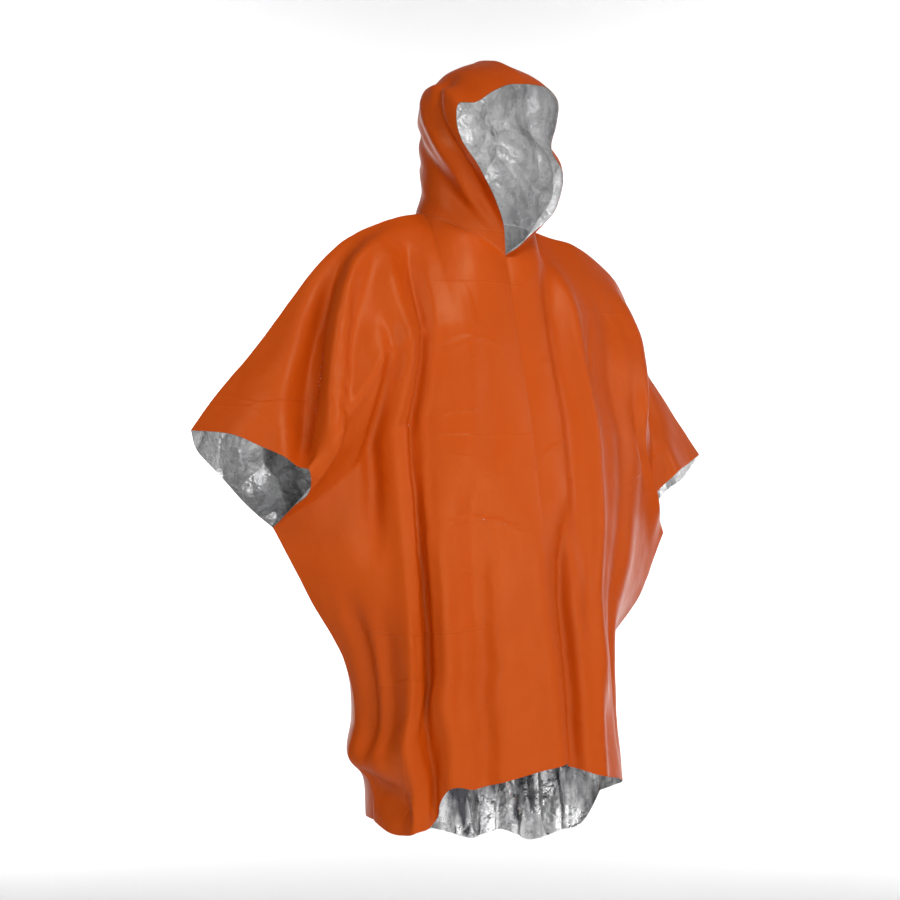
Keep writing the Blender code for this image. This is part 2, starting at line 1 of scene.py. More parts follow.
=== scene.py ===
"""Looks of the hooded poncho: film shells with their folds and creases, finishes, light and camera.

Metres, in the frame's axes: +X is the wearer's left, -Y is the front, +Z is up. Each shell is worked out
from the same sizes and tables as the solid that it replaces, on a finer grid, and gets the finer creases.
"""

import math
from collections import namedtuple

import bpy
import numpy as np
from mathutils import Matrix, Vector


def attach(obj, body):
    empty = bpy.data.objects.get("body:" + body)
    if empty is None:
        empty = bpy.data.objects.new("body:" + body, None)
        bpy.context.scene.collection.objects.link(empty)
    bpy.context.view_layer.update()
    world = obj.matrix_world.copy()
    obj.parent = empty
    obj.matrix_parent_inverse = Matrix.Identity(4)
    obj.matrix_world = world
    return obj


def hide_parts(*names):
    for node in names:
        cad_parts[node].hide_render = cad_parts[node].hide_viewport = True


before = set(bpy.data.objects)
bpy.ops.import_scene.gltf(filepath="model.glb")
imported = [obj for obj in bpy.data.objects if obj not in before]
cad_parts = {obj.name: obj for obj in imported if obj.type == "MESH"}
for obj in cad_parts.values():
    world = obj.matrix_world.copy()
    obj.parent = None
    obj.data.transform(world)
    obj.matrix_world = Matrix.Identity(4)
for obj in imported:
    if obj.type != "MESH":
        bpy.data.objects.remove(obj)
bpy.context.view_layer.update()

# ---- driving dimensions
WALL = 0.0009               # thinner than the solids' wall, as the film is
SEAM_GAP = 0.0003

NECK_HALF_WIDTH = 0.105
NECK_HALF_DEPTH = 0.084
NECK_CENTRE_Y = 0.006
NECK_FRONT_Z = -0.004
NECK_BACK_Z = 0.092
NECK_RISE = 0.40            # how soon the neckline climbs from the front to the shoulders

NECK_SHARE = 0.28           # share of a half panel's columns that hang from the neckline
UNDERARM_SHARE = 0.38       # share of a side's length, from the sleeve tip to the underarm
FRONT_SQUARENESS = 2.05     # of the hem seen from above: 2 is an ellipse, more is squarer
BACK_SQUARENESS = 1.75
HEM_SAMPLES = 181           # points along the hem's quarter, by which its length is measured
SHOULDER_ROUNDING = 0.055
CORNER_SPREAD = 0.14        # shares over which the neckline's corner is smoothed lower down
CORNER_END = 0.50           # share beyond which it fades again
CORNER_DROP = 0.20          # share of the drop below which it is smooth
CHEST_FULLNESS = 3.6        # how soon the cloth reaches its full depth below the shoulder
LEAN_RIGHT = 0.20           # how far the columns lean towards the side between the top and the hem
LEAN_LEFT = 0.05
SIDE_PULL = 1.6             # how closely the sleeve's and the side's shape stay at the side

CROWN_SWELL = 0.010         # how far the hood's top stands out, at its level and over its spread
CROWN_LEVEL = 0.84
CROWN_SPREAD = 0.12
CROWN_START = 0.18          # share of the hood over which it dies out towards the crown seam
TEMPLE_TUCK = 0.008         # how far the hood lies in below it
TEMPLE_LEVEL = 0.62
TEMPLE_SPREAD = 0.20

FOLD_START = 0.06           # share of a panel over which folds die out towards its top and its sides
FOLD_FADE = 0.12            # share of a panel over which a fold begins and ends
FRONT_TUCK = 0.0024         # how far the left front lies inside the right front
TUCK_START = 0.02
TUCK_END = 0.16             # share of the left front over which it comes out again

# ---- grid
NECK_FRONT_CELLS = 24
NECK_BACK_CELLS = 24
RIDGE_CELLS = 96
UNDERLAP_CELLS = 8
SLEEVE_ROWS = 76
ROW_CROWDING = 1.25         # above 1, the upper rows lie closer together
SIDE_ROWS = 124
HOOD_ROWS = 90
HALF_CELLS = NECK_FRONT_CELLS + RIDGE_CELLS
BODY_ROWS = SLEEVE_ROWS + SIDE_ROWS

# ---- directions, and the pieces' middles
FORWARDS = np.array([0.0, -1.0, 0.0])
LEFTWARDS = np.array([1.0, 0.0, 0.0])
FRONT_RIGHT_MIDDLE = np.array([-0.2, -0.12, -0.45])
FRONT_LEFT_MIDDLE = np.array([0.2, -0.12, -0.45])
BACK_MIDDLE = np.array([0.0, 0.13, -0.45])
HOOD_MIDDLE = np.array([0.1, 0.0, 0.2])     # of the left half

# ---- tables
Ridge = namedtuple("Ridge", "x_right x_left y z_right z_left")
SHOULDER_RIDGE = (
    Ridge(0.150, 0.157, 0.008, 0.058, 0.058),
    Ridge(0.200, 0.205, 0.008, 0.038, 0.051),
    Ridge(0.250, 0.255, 0.010, 0.008, 0.031),
    Ridge(0.297, 0.305, 0.012, -0.036, -0.003),
    Ridge(0.340, 0.340, 0.015, -0.092, -0.052),
    Ridge(0.400, 0.368, 0.018, -0.173, -0.136),
    Ridge(0.460, 0.434, 0.020, -0.246, -0.222),
    Ridge(0.506, 0.506, 0.018, -0.306, -0.306),
)

Centre = namedtuple("Centre", "share x y z")
FRONT_EDGE = (
    Centre(0.00, 0.003, -0.078, -0.004),
    Centre(0.07, -0.002, -0.098, -0.056),
    Centre(0.17, -0.001, -0.117, -0.135),
    Centre(0.34, 0.003, -0.147, -0.271),
    Centre(0.53, 0.004, -0.174, -0.428),
    Centre(0.69, 0.006, -0.184, -0.560),
    Centre(0.82, 0.023, -0.188, -0.655),
    Centre(1.00, 0.041, -0.190, -0.804),
)
BACK_LINE = (
    Centre(0.00, 0.000, 0.090, 0.092),
    Centre(0.08, 0.000, 0.117, 0.020),
    Centre(0.25, 0.000, 0.132, -0.160),
    Centre(0.50, 0.000, 0.142, -0.430),
    Centre(0.75, 0.004, 0.150, -0.700),
    Centre(1.00, 0.010, 0.156, -0.962),
)

Edge = namedtuple("Edge", "x y z")
SLEEVE_TIP = Edge(0.506, 0.018, -0.306)
UNDERARM = Edge(0.386, -0.018, -0.452)
SLEEVE_EDGES = {
    ("front", -1): (Edge(0.460, -0.039, -0.316), Edge(0.425, -0.070, -0.336), Edge(0.392, -0.112, -0.357),
                    Edge(0.380, -0.126, -0.363), Edge(0.374, -0.112, -0.385), Edge(0.380, -0.092, -0.410),
                    Edge(0.382, -0.055, -0.431)),
    ("front", 1): (Edge(0.455, -0.008, -0.326), Edge(0.400, -0.040, -0.346), Edge(0.363, -0.030, -0.392)),
    ("back", -1): (Edge(0.477, 0.060, -0.333), Edge(0.430, 0.082, -0.368), Edge(0.397, 0.052, -0.415)),
    ("back", 1): (Edge(0.482, 0.042, -0.352), Edge(0.446, 0.036, -0.370), Edge(0.404, 0.034, -0.414)),
}
Side = namedtuple("Side", "x_right x_left y z_right z_left")
SIDE_SEAM = (
    Side(0.322, 0.328, -0.018, -0.560, -0.565),
    Side(0.260, 0.248, -0.016, -0.660, -0.660),
    Side(0.237, 0.236, -0.006, -0.755, -0.760),
    Side(0.245, 0.244, -0.002, -0.806, -0.830),
    Side(0.208, 0.248, -0.004, -0.846, -0.862),
    Side(0.200, 0.250, -0.004, -0.905, -0.895),
)

Hem = namedtuple("Hem", "share z_right z_left")
FRONT_HEM = (
    Hem(0.00, -0.814, -0.814),
    Hem(0.20, -0.828, -0.838),
    Hem(0.45, -0.849, -0.852),
    Hem(0.61, -0.863, -0.863),
    Hem(0.66, -0.905, -0.867),
    Hem(0.72, -0.915, -0.871),
    Hem(0.82, -0.922, -0.878),
    Hem(1.00, -0.905, -0.895),
)
BACK_HEM = (
    Hem(0.00, -0.960, -0.960),
    Hem(0.10, -0.959, -0.969),
    Hem(0.24, -0.955, -0.980),
    Hem(0.42, -0.942, -0.971),
    Hem(0.56, -0.928, -0.984),
    Hem(0.75, -0.910, -0.971),
    Hem(0.88, -0.905, -0.952),
    Hem(1.00, -0.905, -0.895),
)

HEMS = {"front": (FRONT_HEM, FRONT_SQUARENESS), "back": (BACK_HEM, BACK_SQUARENESS)}

Opening = namedtuple("Opening", "x y z")
HOOD_EDGES = {
    -1: (
        Opening(-0.010, -0.092, 0.033),
        Opening(-0.034, -0.106, 0.070),
        Opening(-0.080, -0.124, 0.121),
        Opening(-0.103, -0.104, 0.172),
        Opening(-0.107, -0.097, 0.205),
        Opening(-0.103, -0.098, 0.229),
        Opening(-0.080, -0.115, 0.231),
        Opening(-0.060, -0.130, 0.247),
        Opening(-0.036, -0.140, 0.259),
    ),
    1: (
        Opening(0.022, -0.090, 0.010),
        Opening(0.046, -0.096, 0.034),
        Opening(0.086, -0.106, 0.080),
        Opening(0.096, -0.112, 0.142),
        Opening(0.078, -0.106, 0.180),
        Opening(0.084, -0.112, 0.218),
        Opening(0.076, -0.128, 0.251),
        Opening(0.042, -0.142, 0.266),
    ),
}
Crown = namedtuple("Crown", "x y z")
BRIM_CENTRE = Crown(0.000, -0.147, 0.264)
CROWN_REAR = Crown(0.000, 0.066, 0.314)
CROWN_SEAM = (BRIM_CENTRE, Crown(0.000, -0.098, 0.306), Crown(0.000, -0.040, 0.334),
              Crown(0.000, 0.020, 0.341), CROWN_REAR)
NAPE_SEAM = (Crown(0.000, 0.090, 0.092), Crown(0.000, 0.100, 0.140), Crown(0.000, 0.110, 0.200),
             Crown(0.000, 0.100, 0.265), CROWN_REAR)

# A fold is a soft ridge (depth above 0) or trough along a line between two places. c is the share across
# from the middle, below 0 on the wearer's right, and t is the share down from the top to the hem.
Fold = namedtuple("Fold", "name c_top t_top c_low t_low width depth")
FRONT_FOLDS = (
    Fold("armpit_trough_right", -0.54, 0.02, -0.99, 0.21, 0.066, -0.030),
    Fold("armpit_ridge_right", -0.43, 0.03, -0.95, 0.26, 0.062, 0.020),
    Fold("side_trough_right", -0.50, 0.18, -0.68, 0.50, 0.050, -0.010),
    Fold("long_fold_crest", -0.425, 0.08, -0.730, 1.00, 0.050, 0.012),
    Fold("long_fold_trough", -0.365, 0.08, -0.665, 1.00, 0.044, -0.015),
    Fold("chest_swell_right", -0.19, 0.10, -0.32, 0.50, 0.080, 0.007),
    Fold("hem_ridge_right", -0.47, 0.55, -0.570, 1.00, 0.055, 0.008),
    Fold("hem_trough_right", -0.30, 0.50, -0.420, 1.00, 0.060, -0.009),
    Fold("edge_ridge", -0.02, 0.55, -0.060, 1.00, 0.055, 0.008),
    Fold("side_dimple_outer", -0.84, 0.58, -0.90, 0.84, 0.045, -0.014),
    Fold("side_dimple_inner", -0.74, 0.64, -0.79, 0.84, 0.045, -0.011),
    Fold("edge_trough_left", 0.13, 0.56, 0.075, 1.00, 0.048, -0.021),
    Fold("hem_ridge_left", 0.28, 0.78, 0.255, 1.00, 0.050, 0.009),
    Fold("long_ridge_left", 0.32, 0.10, 0.345, 0.86, 0.050, 0.012),
    Fold("chest_trough_left", 0.21, 0.12, 0.215, 0.62, 0.050, -0.008),
    Fold("side_trough_left", 0.50, 0.12, 0.56, 0.95, 0.060, -0.010),
    Fold("armpit_ridge_left", 0.60, 0.05, 0.87, 0.40, 0.065, 0.017),
    Fold("armpit_trough_left", 0.72, 0.04, 0.97, 0.27, 0.060, -0.017),
)
BACK_FOLDS = (
    Fold("back_armpit_trough_right", -0.70, 0.03, -0.86, 0.26, 0.060, -0.015),
    Fold("back_armpit_ridge_right", -0.56, 0.03, -0.74, 0.38, 0.065, 0.014),
    Fold("back_trough_right", -0.46, 0.22, -0.62, 1.00, 0.055, -0.011),
    Fold("back_ridge_right", -0.26, 0.16, -0.40, 1.00, 0.060, 0.011),
    Fold("back_middle_trough", -0.03, 0.24, -0.10, 1.00, 0.065, -0.012),
    Fold("back_trough_left", 0.12, 0.20, 0.22, 1.00, 0.055, -0.013),
    Fold("back_ridge_left", 0.32, 0.20, 0.41, 1.00, 0.060, 0.013),
    Fold("back_outer_trough_left", 0.46, 0.26, 0.57, 1.00, 0.055, -0.015),
    Fold("back_outer_ridge_left", 0.60, 0.36, 0.74, 1.00, 0.055, 0.013),
    Fold("back_armpit_ridge_left", 0.58, 0.04, 0.75, 0.36, 0.065, 0.013),
    Fold("back_armpit_trough_left", 0.71, 0.03, 0.86, 0.25, 0.058, -0.016),
)
# On the hood, c is the share from the face edge to the nape and t is the share from the neck to the crown.
HOOD_FOLDS = (
    Fold("cheek_trough", 0.08, 0.12, 0.42, 0.78, 0.070, -0.008),
    Fold("ear_ridge", 0.16, 0.10, 0.60, 0.66, 0.070, 0.006),
    Fold("jaw_trough", 0.24, 0.08, 0.80, 0.50, 0.080, -0.008),
    Fold("nape_ridge", 0.42, 0.06, 0.84, 0.30, 0.090, 0.005),
)

# A crease is finer than a fold: a line through three places, its half width and its height in metres.
# Its height is below 0 for a trough. A crisp one has a sharp crest.
Crease = namedtuple("Crease", "name c1 t1 c2 t2 c3 t3 width height crisp")
FRONT_CREASES = (
    Crease("armpit_crease_right", -0.56, 0.030, -0.77, 0.135, -1.02, 0.200, 0.013, -0.009, 0),
    Crease("armpit_crest_right", -0.50, 0.055, -0.72, 0.180, -0.97, 0.255, 0.010, 0.006, 0),
    Crease("side_crease_right", -0.51, 0.160, -0.59, 0.334, -0.67, 0.520, 0.012, -0.007, 0),
    Crease("long_crease", -0.350, 0.060, -0.520, 0.540, -0.668, 1.080, 0.0055, -0.012, 0),
    Crease("long_crest_outer", -0.385, 0.085, -0.552, 0.540, -0.700, 1.060, 0.0075, 0.005, 0),
    Crease("long_crest_inner", -0.318, 0.090, -0.488, 0.540, -0.634, 1.060, 0.0075, 0.004, 0),
    Crease("hem_valley_right", -0.27, 0.560, -0.345, 0.800, -0.420, 1.100, 0.016, -0.006, 0),
    Crease("hem_crest_right", -0.46, 0.600, -0.515, 0.820, -0.580, 1.080, 0.016, 0.005, 0),
    Crease("roll_hollow", -1.00, 0.900, -0.88, 0.930, -0.74, 0.960, 0.024, -0.016, 0),
    Crease("packing_upper_right", -0.40, 0.270, -0.22, 0.245, -0.06, 0.225, 0.0035, 0.0026, 1),
    Crease("packing_middle_right", -0.43, 0.385, -0.28, 0.375, -0.15, 0.370, 0.0035, 0.0022, 1),
    Crease("packing_lower_right", -0.50, 0.560, -0.28, 0.560, -0.05, 0.575, 0.004, 0.0024, 1),
    Crease("packing_upper_left", 0.045, 0.250, 0.08, 0.252, 0.12, 0.256, 0.0035, 0.0022, 1),
    Crease("packing_left", 0.01, 0.420, 0.10, 0.412, 0.20, 0.420, 0.0035, 0.0026, 1),
    Crease("left_crease", 0.415, 0.170, 0.38, 0.260, 0.345, 0.350, 0.006, -0.004, 0),
    Crease("left_valley", 0.13, 0.600, 0.11, 0.800, 0.08, 1.080, 0.014, -0.007, 0),
    Crease("left_crest", 0.30, 0.080, 0.325, 0.450, 0.30, 0.900, 0.014, 0.005, 0),
)
BACK_CREASES = (
    Crease("back_armpit_crease_right", -0.62, 0.030, -0.82, 0.150, -0.97, 0.260, 0.011, -0.007, 0),
    Crease("back_armpit_crease_left", 0.62, 0.030, 0.84, 0.150, 0.97, 0.250, 0.011, -0.007, 0),
    Crease("back_long_crease", 0.26, 0.200, 0.33, 0.560, 0.36, 1.050, 0.008, -0.007, 0),
    Crease("back_hem_crease_a", 0.13, 0.780, 0.15, 0.900, 0.17, 1.080, 0.006, -0.007, 1),
    Crease("back_hem_crease_b", 0.27, 0.820, 0.28, 0.920, 0.31, 1.080, 0.008, 0.008, 1),
    Crease("back_hem_crease_c", 0.37, 0.800, 0.38, 0.920, 0.36, 1.080, 0.005, -0.007, 1),
    Crease("back_hem_crease_d", 0.47, 0.840, 0.49, 0.940, 0.52, 1.080, 0.007, 0.007, 1),
    Crease("back_hem_crease_e", 0.61, 0.820, 0.62, 0.920, 0.64, 1.080, 0.006, -0.007, 1),
    Crease("back_hem_crease_f", 0.72, 0.840, 0.74, 0.940, 0.77, 1.080, 0.006, 0.006, 1),
    Crease("back_hem_slant_a", 0.16, 0.880, 0.23, 0.940, 0.30, 0.985, 0.004, 0.004, 1),
    Crease("back_hem_slant_b", 0.40, 0.870, 0.47, 0.930, 0.56, 0.980, 0.004, -0.004, 1),
    Crease("back_packing_upper", -0.42, 0.300, -0.05, 0.285, 0.36, 0.310, 0.006, 0.0012, 1),
    Crease("back_packing_lower", -0.55, 0.600, -0.10, 0.620, 0.40, 0.600, 0.006, 0.0012, 1),
    Crease("back_packing_down", -0.02, 0.200, -0.015, 0.550, -0.01, 0.980, 0.005, -0.0012, 1),
)
HOOD_CREASES = (
    Crease("cheek_crease", 0.10, 0.120, 0.24, 0.420, 0.40, 0.740, 0.010, -0.0025, 0),
    Crease("ear_crease", 0.20, 0.080, 0.42, 0.330, 0.66, 0.600, 0.010, -0.0025, 0),
    Crease("nape_crease", 0.40, 0.050, 0.62, 0.180, 0.86, 0.360, 0.010, -0.0025, 0),
)

# ---- relief
RELIEF_FADE = 0.05          # share of a panel over which creases die out towards its seams
CREASE_POINTS = 24          # places at which a crease's line is followed
CREASE_TAPER = 0.6          # below 1, a crease keeps its height nearer to its ends
CREASE_LIP = 0.30           # how much the cloth beside a crease gives way
CREASE_LIP_WIDTH = 2.2      # how far it does, in half widths of the crease
FAR_AWAY = 1.0
TINY = 1e-9
MEETING_DIGITS = 5          # shells meet where their points agree to these decimals
NOISE_VALUES = 8191
NOISE_STRIDES = np.array([1, 57, 113 * 31])
BEND_SCALE = 0.5            # how coarse the bend of the wrinkles is, how strong, and how its seed differs
BEND_STRENGTH = 0.6
BEND_SEED = 100
Wrinkle = namedtuple("Wrinkle", "size stretch height seed")
WRINKLES = (
    Wrinkle(0.090, 0.50, 0.0019, 3),
    Wrinkle(0.034, 0.70, 0.0006, 5),
    Wrinkle(0.015, 0.80, 0.00022, 8),
)

# ---- finishes
OUTSIDE, INSIDE, EDGE = 0, 1, 2
ORANGE_DEEP = (0.44, 0.052, 0.0010, 1.0)
ORANGE_PALE = (0.53, 0.069, 0.0020, 1.0)
SATIN_TINT = (1.0, 0.85, 0.45, 1.0)
SATIN_SPECULAR = 0.28
SATIN_ROUGHNESS = (0.40, 0.52)
METAL_ROUGHNESS = (0.20, 0.36)
METAL_AT_HEM = 0.90         # how metallic the inside is low down and high up
METAL_AT_HOOD = 0.28
HEM_SHADE_FROM = -0.20       # height above which the inside has no painted shade
HEM_SHADE_TO = -0.75         # height below which the inside is fully painted dark, as shade low in the garment
# the dark of the painted shade inside the garment near the hem
SILVER_SHADE = (0.10, 0.10, 0.11, 1.0)
SILVER_DARK = (0.72, 0.72, 0.73, 1.0)
SILVER_PALE = (0.99, 0.99, 0.99, 1.0)
EDGE_DARK = (0.34, 0.12, 0.05, 1.0)
EDGE_PALE = (0.50, 0.22, 0.12, 1.0)
EDGE_ROUGHNESS = 0.5

# Textures are in the object's own metres. A stretch below 1 makes them longer along that axis.
Noise = namedtuple("Noise", "scale detail stretch")
Cells = namedtuple("Cells", "scale stretch")
Bump = namedtuple("Bump", "strength distance")
EVEN = (1.0, 1.0, 1.0)
NOISE_RANGE = (0.3, 0.7)    # the values that most of a noise lies between
MOTTLE = Noise(9.0, 4.0, (1.0, 1.0, 0.45))
CLOUDS = Noise(26.0, 3.0, (1.0, 1.0, 0.5))
RUMPLE = Noise(55.0, 3.0, (1.0, 1.0, 0.6))
GRAIN = Noise(900.0, 2.0, EVEN)
RUMPLE_BUMP = Bump(0.18, 0.004)
GRAIN_BUMP = Bump(0.12, 0.0004)
PACKING_CELLS = Cells(5.0, (0.45, 0.45, 2.2))
PACKING_WIDTH = 0.020       # in the cells' own units
PACKING_PATCHES = Noise(5.0, 2.0, EVEN)
PACKING_SHOWN = (0.50, 0.66)    # the patches' values between which the lines fade in
PACKING_BUMP = Bump(1.0, 0.0007)
BROAD_FACETS = Cells(15.0, (1.0, 1.0, 0.55))
SMALL_FACETS = Cells(42.0, (1.0, 1.0, 0.6))
BROAD_TONES = (0.15, 0.75)
SMALL_TONES = (0.20, 0.80)
SMALL_SHARE = 0.4           # share of the small facets in the tone
STREAKS = Noise(22.0, 3.0, (1.0, 1.0, 0.3))
STREAK_TONES = (0.42, 0.62)
RUBBING = Noise(40.0, 3.0, EVEN)
CRUMPLE = Noise(30.0, 5.0, EVEN)
CRINKLE = Noise(130.0, 4.0, EVEN)
BROAD_BUMP = Bump(0.8, 0.050)
SMALL_BUMP = Bump(0.5, 0.010)
CRUMPLE_BUMP = Bump(0.8, 0.014)
CRINKLE_BUMP = Bump(0.6, 0.003)
EDGE_MOTTLE = Noise(120.0, 2.0, EVEN)

# ---- camera, stage and light
VIEW_AZIMUTH = math.radians(-33.0)
VIEW_AHEAD = Vector((-math.sin(VIEW_AZIMUTH), math.cos(VIEW_AZIMUTH), 0.0))
VIEW_RIGHT = Vector((math.cos(VIEW_AZIMUTH), math.sin(VIEW_AZIMUTH), 0.0))
CAMERA_AWAY = 2.6
CAMERA_ASIDE = 0.046
CAMERA_Z = -0.5
CAMERA_PITCH = math.radians(4.01)
CAMERA_LENS = 62.72         # millimetres, for a sensor 36 mm wide
CAMERA_SENSOR = 36.0
FLOOR_Z = -1.43             # the soles of a wearer whose shoulders hold the garment
FLOOR_REACH = 9.0
BACKDROP_AWAY = 5.5
BACKDROP_BEND = 1.5
BACKDROP_HEIGHT = 6.0
BACKDROP_WIDTH = 16.0
BACKDROP_STEPS = 12
FLOOR_PALE = (0.94, 0.94, 0.94, 1.0)
FLOOR_ROUGHNESS = 0.9
WORLD_COLOUR = (0.93, 0.95, 1.0, 1.0)
WORLD_STRENGTH = 0.10
# Places and aims of the lights are seen from the camera: across to its right, ahead away from it, and up.
Light = namedtuple("Light", "name across ahead up to_across to_ahead to_up width length power")
LIGHTS = (
    Light("key_right", 1.3, -1.8, 2.5, 0.0, 0.0, -0.4, 0.8, 0.8, 43.0),
    Light("key_left", -1.3, -2.2, 1.8, 0.0, 0.0, -0.4, 0.8, 0.8, 23.0),
    Light("low_right", 1.8, -2.3, -0.3, 0.0, 0.0, -0.4, 1.0, 1.0, 20.0),
    Light("side_right", 2.8, -0.3, 0.4, 0.0, 0.0, -0.4, 1.2, 1.2, 17.0),
    Light("front_low", 0.2, -2.9, -0.4, 0.0, 0.0, 0.2, 1.2, 1.2, 21.0),
    Light("inner_fill", -2.1, -2.1, 0.1, 0.0, 0.0, -0.2, 2.0, 2.2, 8.0),
    Light("backdrop_left", -3.4, 3.0, 0.8, -2.6, 5.0, -0.3, 1.5, 1.5, 170.0),
    Light("backdrop_right", 3.4, 3.0, 0.8, 2.6, 5.0, -0.3, 1.5, 1.5, 170.0),
)


# ---- curves
def ease(value):
    """A smooth step from 0 to 1."""
    clipped = np.clip(value, 0.0, 1.0)
    return clipped * clipped * (3.0 - 2.0 * clipped)


def smooth_curve(points, knots=None):
    """A smooth curve through the points, as a function of its share, by chord length or by knots."""
    points = np.array(points, dtype=float)
    if knots is None:
        steps = np.linalg.norm(np.diff(points, axis=0), axis=1)
        knots = np.concatenate(([0.0], np.cumsum(steps))) / steps.sum()
    knots = np.array(knots, dtype=float)
    slopes = np.gradient(points, knots, axis=0)

    def at(share):
        share = np.atleast_1d(np.clip(share, 0.0, 1.0))
        left = np.clip(np.searchsorted(knots, share, side="right") - 1, 0, len(knots) - 2)
        span = (knots[left + 1] - knots[left])[:, None]
        step = (share[:, None] - knots[left][:, None]) / span
        start = (1.0 + 2.0 * step) * (1.0 - step) ** 2 * points[left]
        end = step ** 2 * (3.0 - 2.0 * step) * points[left + 1]
        leave = step * (1.0 - step) ** 2 * span * slopes[left]
        arrive = step ** 2 * (step - 1.0) * span * slopes[left + 1]
        return start + end + leave + arrive

    return at


def neckline(turn):
    """Points of the neckline. The turn is 0 at the front, a quarter at the side and a half at the nape."""
    angle = 2.0 * math.pi * np.asarray(turn, dtype=float)
    rise = ((1.0 - np.cos(angle)) / 2.0) ** NECK_RISE
    x = NECK_HALF_WIDTH * np.sin(angle)
    y = NECK_CENTRE_Y - NECK_HALF_DEPTH * np.cos(angle)
    z = NECK_FRONT_Z + (NECK_BACK_Z - NECK_FRONT_Z) * rise
    return np.stack([x, y, z], axis=-1)


def shoulder_ridge(side):
    """The line along the shoulder and the top of the arm, from the neck to the sleeve's tip."""
    start = neckline(0.25)
    rows = [(start[0], start[1], start[2])]
    if side < 0:
        rows += [(row.x_right, row.y, row.z_right) for row in SHOULDER_RIDGE]
    else:
        rows += [(row.x_left, row.y, row.z_left) for row in SHOULDER_RIDGE]
    return smooth_curve([(side * x, y, z) for x, y, z in rows])


def top_edge(side, shares, face):
    """Upper edge of a half panel: the neckline, then the shoulder ridge."""
    along_neck = np.clip(shares / NECK_SHARE, -1.0, 1.0) * 0.25
    turn = along_neck if face == "front" else 0.5 - along_neck
    neck = neckline(turn) * np.array([side, 1.0, 1.0])
    along_ridge = (shares - NECK_SHARE) / (1.0 - NECK_SHARE)
    ridge = shoulder_ridge(side)(along_ridge)
    return np.where((shares <= NECK_SHARE)[:, None], neck, ridge)


def side_edge(side, drops, face):
    """Outer edge of a half panel: the sleeve's open edge, then the side seam."""
    sleeve_rows = (SLEEVE_TIP,) + SLEEVE_EDGES[(face, side)] + (UNDERARM,)
    sleeve = smooth_curve([(side * row.x, row.y, row.z) for row in sleeve_rows])
    seam_rows = [(side * UNDERARM.x, UNDERARM.y, UNDERARM.z)]
    for row in SIDE_SEAM:
        x = row.x_right if side < 0 else row.x_left
        z = row.z_right if side < 0 else row.z_left
        seam_rows.append((side * x, row.y, z))
    seam = smooth_curve(seam_rows)
    on_sleeve = sleeve(drops / UNDERARM_SHARE)
    on_seam = seam((drops - UNDERARM_SHARE) / (1.0 - UNDERARM_SHARE))
    return np.where((drops <= UNDERARM_SHARE)[:, None], on_sleeve, on_seam)


def soft_top_edge(side, shares, face):
    """The upper edge without its corner at the neck, as the cloth lies lower down."""
    inside = np.abs(shares)
    spread = CORNER_SPREAD * ease(inside / NECK_SHARE) * (1.0 - ease((inside - CORNER_END) / NECK_SHARE))
    offsets = (-1.0, -0.5, 0.0, 0.5, 1.0)
    return sum(top_edge(side, shares + spread * offset, face) for offset in offsets) / len(offsets)


def centre_edge(rows, drops):
    """Middle line of the front or the back, from the neck to the hem."""
    return smooth_curve([(row.x, row.y, row.z) for row in rows], [row.share for row in rows])(drops)


def hem_edge(side, shares, centre, corner, rows, squareness):
    """Hem of a half panel: a quarter of a squared oval, at the heights that the rows give."""
    turns = np.linspace(0.0, math.pi / 2.0, HEM_SAMPLES)
    power = 2.0 / squareness
    x = centre[0] + (corner[0] - centre[0]) * np.sin(turns) ** power
    y = corner[1] + (centre[1] - corner[1]) * np.cos(turns) ** power
    lengths = np.concatenate(([0.0], np.cumsum(np.hypot(np.diff(x), np.diff(y)))))
    lengths /= lengths[-1]
    heights = [row.z_right if side < 0 else row.z_left for row in rows]
    inside = np.abs(shares)
    mirrored = np.where(shares < 0.0, -1.0, 1.0)
    hem_x = centre[0] + mirrored * (np.interp(inside, lengths, x) - centre[0])
    hem_y = np.interp(inside, lengths, y)
    height = smooth_curve(np.array(heights)[:, None], [row.share for row in rows])(inside)[:, 0]
    return np.stack([hem_x, hem_y, height], axis=-1)


# ---- the body's surface
def half_panel(face, side, shares, drops):
    """Points of a half panel. Shares run from the middle to the side, drops from the top to the hem."""
    ends = np.array([0.0, 1.0])
    centre_line = FRONT_EDGE if face == "front" else BACK_LINE
    centre = centre_edge(centre_line, drops)
    outer = side_edge(side, drops, face)
    centre_top, centre_hem = centre_edge(centre_line, ends)
    outer_top, outer_hem = side_edge(side, ends, face)
    corner_fade = ease(drops / CORNER_DROP)[:, None, None]
    top = (1.0 - corner_fade) * top_edge(side, shares, face)
    top = top + corner_fade * soft_top_edge(side, shares, face)
    if face == "front":
        top = top + (1.0 - ease(np.abs(shares) / NECK_SHARE))[:, None] * (centre_top - neckline(0.0))
    hem_rows, squareness = HEMS[face]
    hem = hem_edge(side, shares, centre_hem, outer_hem, hem_rows, squareness)

    fuller = 1.0 - (1.0 - drops) ** CHEST_FULLNESS
    sinking = drops ** 2 / (drops + SHOULDER_ROUNDING) * (1.0 + SHOULDER_ROUNDING)
    down = np.stack([drops, fuller, sinking], axis=-1)[:, None, :]
    across = (np.abs(shares) ** SIDE_PULL)[None, :, None]
    ruled = (1.0 - down) * top + down * hem[None, :, :]
    down = down[:, 0, :]
    ruled_centre = (1.0 - down) * centre_top + down * centre_hem
    ruled_side = (1.0 - down) * outer_top + down * outer_hem
    points = ruled + (1.0 - across) * (centre - ruled_centre)[:, None, :]
    return points + across * (outer - ruled_side)[:, None, :]


